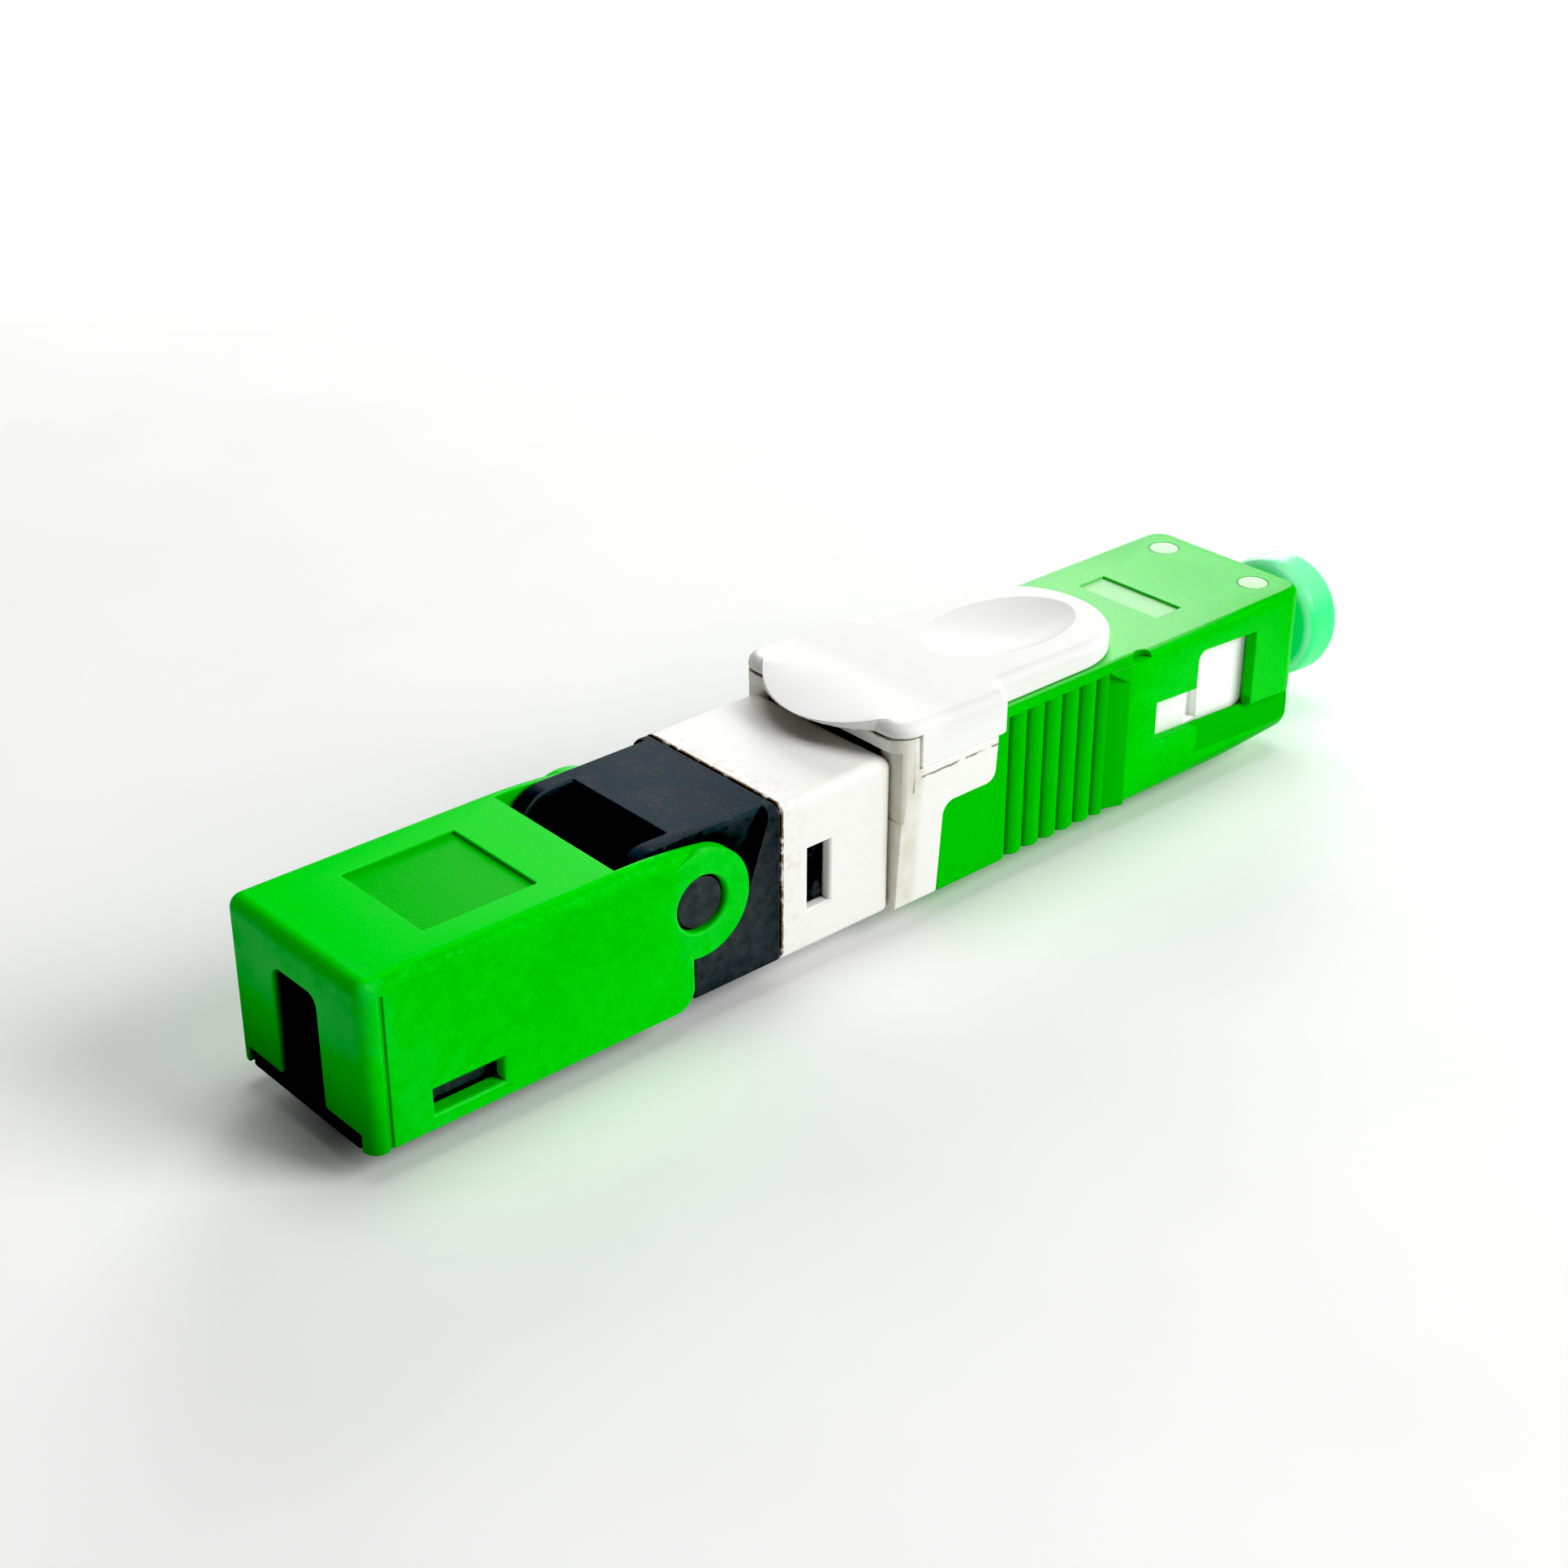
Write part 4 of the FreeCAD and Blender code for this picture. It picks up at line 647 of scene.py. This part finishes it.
gripGreen = {
    **tailGreen,
    "name": "gripGreen",
    "colour": rgb(0.0, 0.62, 0.004), "deep": rgb(0.0, 0.44, 0.003),
    "rimColour": rgb(0.05, 0.76, 0.07), "rimWear": 0.35,
    "grimeShadeReach": 0.6 * mm, "grimeShadeStart": 0.14, "grimeShadeAmount": 0.9,
    "marks": [
        # painted shade on the sunk band, which is also a little smoother
        mark({"x": (sunkBand["rear"], sunkBand["front"]), "aside": (sunkBand["inside"], gripSkin),
              "z": (-openEnd, ribs["top"])}, paintedShadeGreen, 0.8, soft=0.012 * mm, rough=-0.06),
        # painted shade over the sides of the rib zone
        mark({"x": (-openEnd, sunkBand["front"]), "aside": (ribs["inside"], openEnd)}, paintedShadeGreen, 0.5),
        # painted shade in the rib valleys
        mark({"x": (ribs["rear"], sunkBand["rear"]), "aside": (ribs["inside"], ribs["valley"]),
              "z": (-openEnd, ribs["top"])}, rgb(0.0, 0.20, 0.003), 0.75, soft=0.09 * mm),
        # painted shade on the hook ramp, which is also a little smoother
        mark({"x": (hookRamp["rear"], openEnd), "aside": (hookRamp["inside"], gripSkin),
              "z": (-openEnd, hookRamp["top"])}, paintedShadeGreen, 0.8, soft=0.012 * mm, rough=-0.06),
        mark({"x": (gripHigh.x - sunkPanel["rear"], gripHigh.x - sunkPanel["rear"] + sunkPanel["length"]),
              "aside": (-sunkPanel["half"], sunkPanel["half"]),
              "z": (gripHigh.z - sunkPanel["low"], gripHigh.z - sunkPanel["high"])},
             rgb(0.46, 0.82, 0.45), 0.85, rough=0.1),
        # painted sheen: the grip's top paler towards the rear
        mark({"x": (-openEnd, gripTop["front"], gripTop["fade"]),
              "z": (gripTop["low"], openEnd, gripTop["soft"])}, rgb(0.34, 0.78, 0.33), 0.3),
    ],
    "rough": 0.44,
    "fixed": plasticFixed,
}
moulding(gripHousing, mouldedPlastic(gripGreen))

ejectorMarks = {
    "name": "ejectorMarks", "body": "grip", "slot": "green_plastic",
    "count": 2, "segments": 40, "rings": 12,
    "sizes": {"Back": gripHigh.x - 1.66 * mm, "Apart": 5.4 * mm, "Radius": 0.70 * mm,
              "Floor": gripHigh.z - 0.015 * mm, "Bulge": 0.03 * mm},
}
# painted highlight: the ejector discs are paler than the top around them
markGreen = {
    **gripGreen,
    "name": "markGreen",
    "colour": rgb(0.54, 0.84, 0.52), "deep": rgb(0.46, 0.80, 0.44),
    "grimeShadeAmount": 0.1,
    "marks": [],
}
marksTree, dots, dotSizes = newTree("ejectorMarks", ejectorMarks["sizes"])
firstDot = dots.add("ShaderNodeCombineXYZ", None,
                    {0: dotSizes["Back"], 1: dotSizes["Apart"] * -0.5, 2: dotSizes["Floor"]})
nextDot = dots.add("ShaderNodeCombineXYZ", None, {1: dotSizes["Apart"]})
pair = dots.add("GeometryNodeMeshLine", None,
                {"Count": ejectorMarks["count"], "Start Location": firstDot, "Offset": nextDot})
ball = dots.add("GeometryNodeMeshUVSphere", None,
                {"Segments": ejectorMarks["segments"], "Rings": ejectorMarks["rings"], "Radius": 1.0})
flattened = dots.add("ShaderNodeCombineXYZ", None,
                     {0: dotSizes["Radius"], 1: dotSizes["Radius"], 2: dotSizes["Bulge"]})
button = dots.add("GeometryNodeTransform", None, {"Geometry": ball, "Scale": flattened})
buttons = dots.add("GeometryNodeInstanceOnPoints", None, {"Points": pair, "Instance": button})
endTree(buttons, mouldedPlastic(markGreen))
grown(ejectorMarks, marksTree)

plugFrame = {"name": "plugFrame", "node": "plug_frame", "body": "body", "slot": "white_plastic",
             "edge": 0.10 * mm}
frameWhite = {**bodyWhite, "name": "frameWhite", "marks": [], "grimeShadeAmount": 0.05,
              "colour": rgb(0.97, 0.97, 0.955), "deep": rgb(0.95, 0.95, 0.93),
              "rimColour": rgb(0.97, 0.97, 0.95)}
moulding(plugFrame, mouldedPlastic(frameWhite))

dustCap = {"name": "dustCap", "node": "dust_cap", "body": "cap", "slot": "mint_plastic", "edge": 0.18 * mm}
capTop = {"low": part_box("dust_cap")[1].z - 1.0 * mm, "fade": 0.9 * mm}
capMint = {
    **tailGreen,
    "name": "capMint",
    "colour": rgb(0.05, 0.88, 0.29), "deep": rgb(0.025, 0.83, 0.20),
    "rimColour": rgb(0.40, 0.97, 0.62), "rimWear": 0.7,
    "grimeShadeColour": rgb(0.0, 0.42, 0.03), "grimeShadeReach": 0.9 * mm, "grimeShadeAmount": 0.7,
    # painted highlight: the cap's top paler
    "marks": [mark({"z": (capTop["low"], openEnd)}, rgb(0.36, 0.93, 0.58), 0.6, soft=capTop["fade"])],
    "rough": 0.38, "roughVary": 0.1,
    "fixed": {"Specular IOR Level": 0.55, "IOR": 1.48, "Subsurface Weight": 0.5,
              "Subsurface Radius": (0.2, 1.0, 0.4), "Subsurface Scale": 1.0 * mm},
}
moulding(dustCap, mouldedPlastic(capMint))

spliceAmber = {**bodyWhite, "name": "spliceAmber", "marks": [],
               "colour": rgb(0.62, 0.55, 0.36), "deep": rgb(0.55, 0.47, 0.28)}
spliceSkin = mouldedPlastic(spliceAmber)
for inner in ("splice_base", "splice_lid_rear", "splice_lid_front", "press_block", "fibre_guide"):
    dressNode(inner, spliceSkin)

metalFixed = {"Metallic": 1.0}
flangeMetal = {"name": "flangeMetal", "colour": rgb(0.62, 0.60, 0.56), "deep": rgb(0.48, 0.46, 0.43),
               "stretch": (12.0, 1.0, 1.0), "lineScale": 900.0, "stainScale": 400.0, "rough": 0.22,
               "roughVary": 0.2, "bump": 0.2, "bumpReach": 0.01 * mm, "fixed": metalFixed}
clipSteel = {**flangeMetal, "name": "clipSteel", "stretch": (1.0, 10.0, 10.0),
             "colour": rgb(0.55, 0.55, 0.56), "deep": rgb(0.42, 0.42, 0.44)}
zirconia = {**flangeMetal, "name": "zirconia", "rough": 0.12, "roughVary": 0.08, "fixed": {"IOR": 2.1},
            "colour": rgb(0.90, 0.89, 0.86), "deep": rgb(0.84, 0.82, 0.78)}
fibreGlass = {**zirconia, "name": "fibreGlass", "fixed": {"IOR": 1.46},
              "colour": rgb(0.80, 0.86, 0.88), "deep": rgb(0.70, 0.78, 0.80)}
for inner, look in (("ferrule", zirconia), ("ferrule_flange", flangeMetal), ("fibre_stub", fibreGlass),
                    ("splice_clip", clipSteel)):
    dressNode(inner, bareMetal(look))
print("inner pieces dressed")

springLow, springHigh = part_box("ferrule_spring")
wireRadius = 0.18 * mm
springCoil = {
    "name": "springCoil", "node": "ferrule_spring", "body": "body", "slot": "spring_steel",
    "joint": "ferrule_float", "travel": 1.5 * mm,
    "points": 260, "sides": 10, "closedPitch": 2.04,  # pitch of the closed turns, in wire radii
    "sizes": {"Turns": 7.5, "End turns": 1.2, "Wire radius": wireRadius, "Rear": springLow.x,
              "Length": springHigh.x - springLow.x,
              "Coil radius": (springHigh.y - springLow.y) / 2 - wireRadius,
              "Height": (springLow.z + springHigh.z) / 2},
}
springSteel = {**flangeMetal, "name": "springSteel",
               "colour": rgb(0.50, 0.50, 0.52), "deep": rgb(0.35, 0.35, 0.37)}
coilTree, coil, coilSizes = newTree("springCoil", springCoil["sizes"])
turn = coil.add("GeometryNodeSplineParameter") * coilSizes["Turns"]
ends = coilSizes["End turns"]
wire = coilSizes["Wire radius"]
closed = wire * springCoil["closedPitch"]
openTurns = coilSizes["Turns"] - ends * 2.0
pitch = (coilSizes["Length"] - wire * 2.0 - closed * ends * 2.0) / openTurns
rise = (turn.least(ends) * closed + (turn - ends).most(0.0).least(openTurns) * pitch
        + (turn - ends - openTurns).most(0.0) * closed)
angle = turn * math.tau
onCoil = coil.add("ShaderNodeCombineXYZ", None, {
    0: coilSizes["Rear"] + wire + rise,
    1: coil.maths("COSINE", angle) * coilSizes["Coil radius"],
    2: coil.maths("SINE", angle) * coilSizes["Coil radius"] + coilSizes["Height"],
})
straight = coil.add("GeometryNodeCurvePrimitiveLine")
line = coil.add("GeometryNodeResampleCurve", None, {"Curve": straight, "Count": springCoil["points"]})
path = coil.add("GeometryNodeSetPosition", None, {"Geometry": line, "Position": onCoil})
section = coil.add("GeometryNodeCurvePrimitiveCircle", None,
                   {"Resolution": springCoil["sides"], "Radius": wire})
tube = coil.add("GeometryNodeCurveToMesh", None, {"Curve": path, "Profile Curve": section, "Fill Caps": True})
endTree(tube, bareMetal(springSteel))
spring = grown(springCoil, coilTree)
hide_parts(springCoil["node"])
springLength = springCoil["sizes"]["Length"]
(springLength - springCoil["travel"]) / springLength
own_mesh(spring)

floorLook = {
    "half": 1.5, "drop": 0.02 * mm, "scale": 60.0,
    "colour": rgb(0.93, 0.93, 0.925), "colourAt": 0.7, "deep": rgb(0.90, 0.90, 0.895), "deepAt": 0.3,
    "near": 0.04, "far": 0.32, "nearGlow": rgb(0.0, 0.0, 0.0), "farGlow": rgb(0.80, 0.80, 0.80),
    "fixed": {"Roughness": 0.8, "Specular IOR Level": 0.1, "Emission Strength": 1.0},
}
floorMesh = bpy.data.meshes.new("floor")
half, under = floorLook["half"], -floorLook["drop"]
corners = [(-half, -half, under), (half, -half, under), (half, half, under), (-half, half, under)]
floorMesh.from_pydata(corners, [], [(0, 1, 2, 3)])
floor = bpy.data.objects.new("floor", floorMesh)
bpy.context.scene.collection.objects.link(floor)
floorSkin, paint, places = newMaterial("floorPaper")
paperStops = [(floorLook["deepAt"], floorLook["deep"]), (floorLook["colourAt"], floorLook["colour"])]
paper = paint.add("ShaderNodeValToRGB", {"stops": paperStops}, {"Fac": noiseAt(places, floorLook["scale"])})
along, across = axesOf(places)[:2]
away = paint.maths("SQRT", along * along + across * across).band(floorLook["near"], floorLook["far"])
floorGlow = paint.add("ShaderNodeMix", {"data_type": "RGBA"},
                      {0: away, 6: floorLook["nearGlow"], 7: floorLook["farGlow"]}, 2)
finishMaterial(paint, floorLook["fixed"], {"Base Color": paper, "Emission Color": floorGlow})
floorMesh.materials.append(floorSkin)

studio = {
    "sky": rgb(1.0, 1.0, 1.0), "skyStrength": 0.16, "backdropStrength": 0.97,
    "lamps": [
        {"name": "keyPanel", "at": (0.22, -0.34, 0.26), "size": 0.26, "power": 1.95},
        {"name": "topPanel", "at": (0.08, 0.04, 0.50), "size": 0.30, "power": 0.9},
        {"name": "backPanel", "at": (0.38, 0.36, 0.17), "size": 0.26, "power": 1.7},
    ],
}
world = bpy.data.worlds.new("studio")
world.use_nodes = True
world.node_tree.nodes.clear()
air = Wire(world.node_tree)                        # the backdrop is pale, and only the glow lights the part
skyGlow = air.add("ShaderNodeBackground", None, {"Color": studio["sky"], "Strength": studio["skyStrength"]})
backdrop = air.add("ShaderNodeBackground", None,
                   {"Color": studio["sky"], "Strength": studio["backdropStrength"]})
direct = air.add("ShaderNodeLightPath")
sky = air.add("ShaderNodeMixShader", None, {0: direct, 1: skyGlow, 2: backdrop})
air.add("ShaderNodeOutputWorld", None, {"Surface": sky}, None)
bpy.context.scene.world = world
for lamp in studio["lamps"]:
    light = bpy.data.lights.new(lamp["name"], "AREA")
    light.energy = lamp["power"]
    light.shape = "SQUARE"
    light.size = lamp["size"]
    panel = bpy.data.objects.new(lamp["name"], light)
    panel.location = lamp["at"]
    panel.rotation_euler = (-Vector(lamp["at"])).to_track_quat("-Z", "Y").to_euler()
    bpy.context.scene.collection.objects.link(panel)

photoView = {"eye": (-0.067905, -0.07058, 0.057225), "azimuth": -41.70, "elevation": 28.32, "roll": 0.12,
             "lens": 59.63, "sensor": 36.0, "clipStart": 0.002, "clipEnd": 10.0, "black": 0.036}
azimuth = math.radians(photoView["azimuth"])
elevation = math.radians(photoView["elevation"])
back = Vector((math.sin(azimuth) * math.cos(elevation), -math.cos(azimuth) * math.cos(elevation),
               math.sin(elevation)))
right = Vector((0, 0, 1)).cross(back).normalized()
facing = Matrix((right, back.cross(right), back)).transposed().to_4x4()
photoLens = bpy.data.cameras.new("photoCamera")
photoLens.lens = photoView["lens"]
photoLens.sensor_width = photoView["sensor"]
photoLens.sensor_fit = "HORIZONTAL"
photoLens.clip_start = photoView["clipStart"]
photoLens.clip_end = photoView["clipEnd"]
camera = bpy.data.objects.new("photoCamera", photoLens)
camera.matrix_world = (Matrix.Translation(photoView["eye"]) @ facing
                       @ Matrix.Rotation(math.radians(photoView["roll"]), 4, "Z"))
bpy.context.scene.collection.objects.link(camera)
bpy.context.scene.camera = camera
grade = bpy.context.scene.view_settings
grade.view_transform = "Standard"
grade.use_curve_mapping = True
grade.curve_mapping.black_level = (photoView["black"],) * 3
grade.curve_mapping.update()
print("studio and camera set")
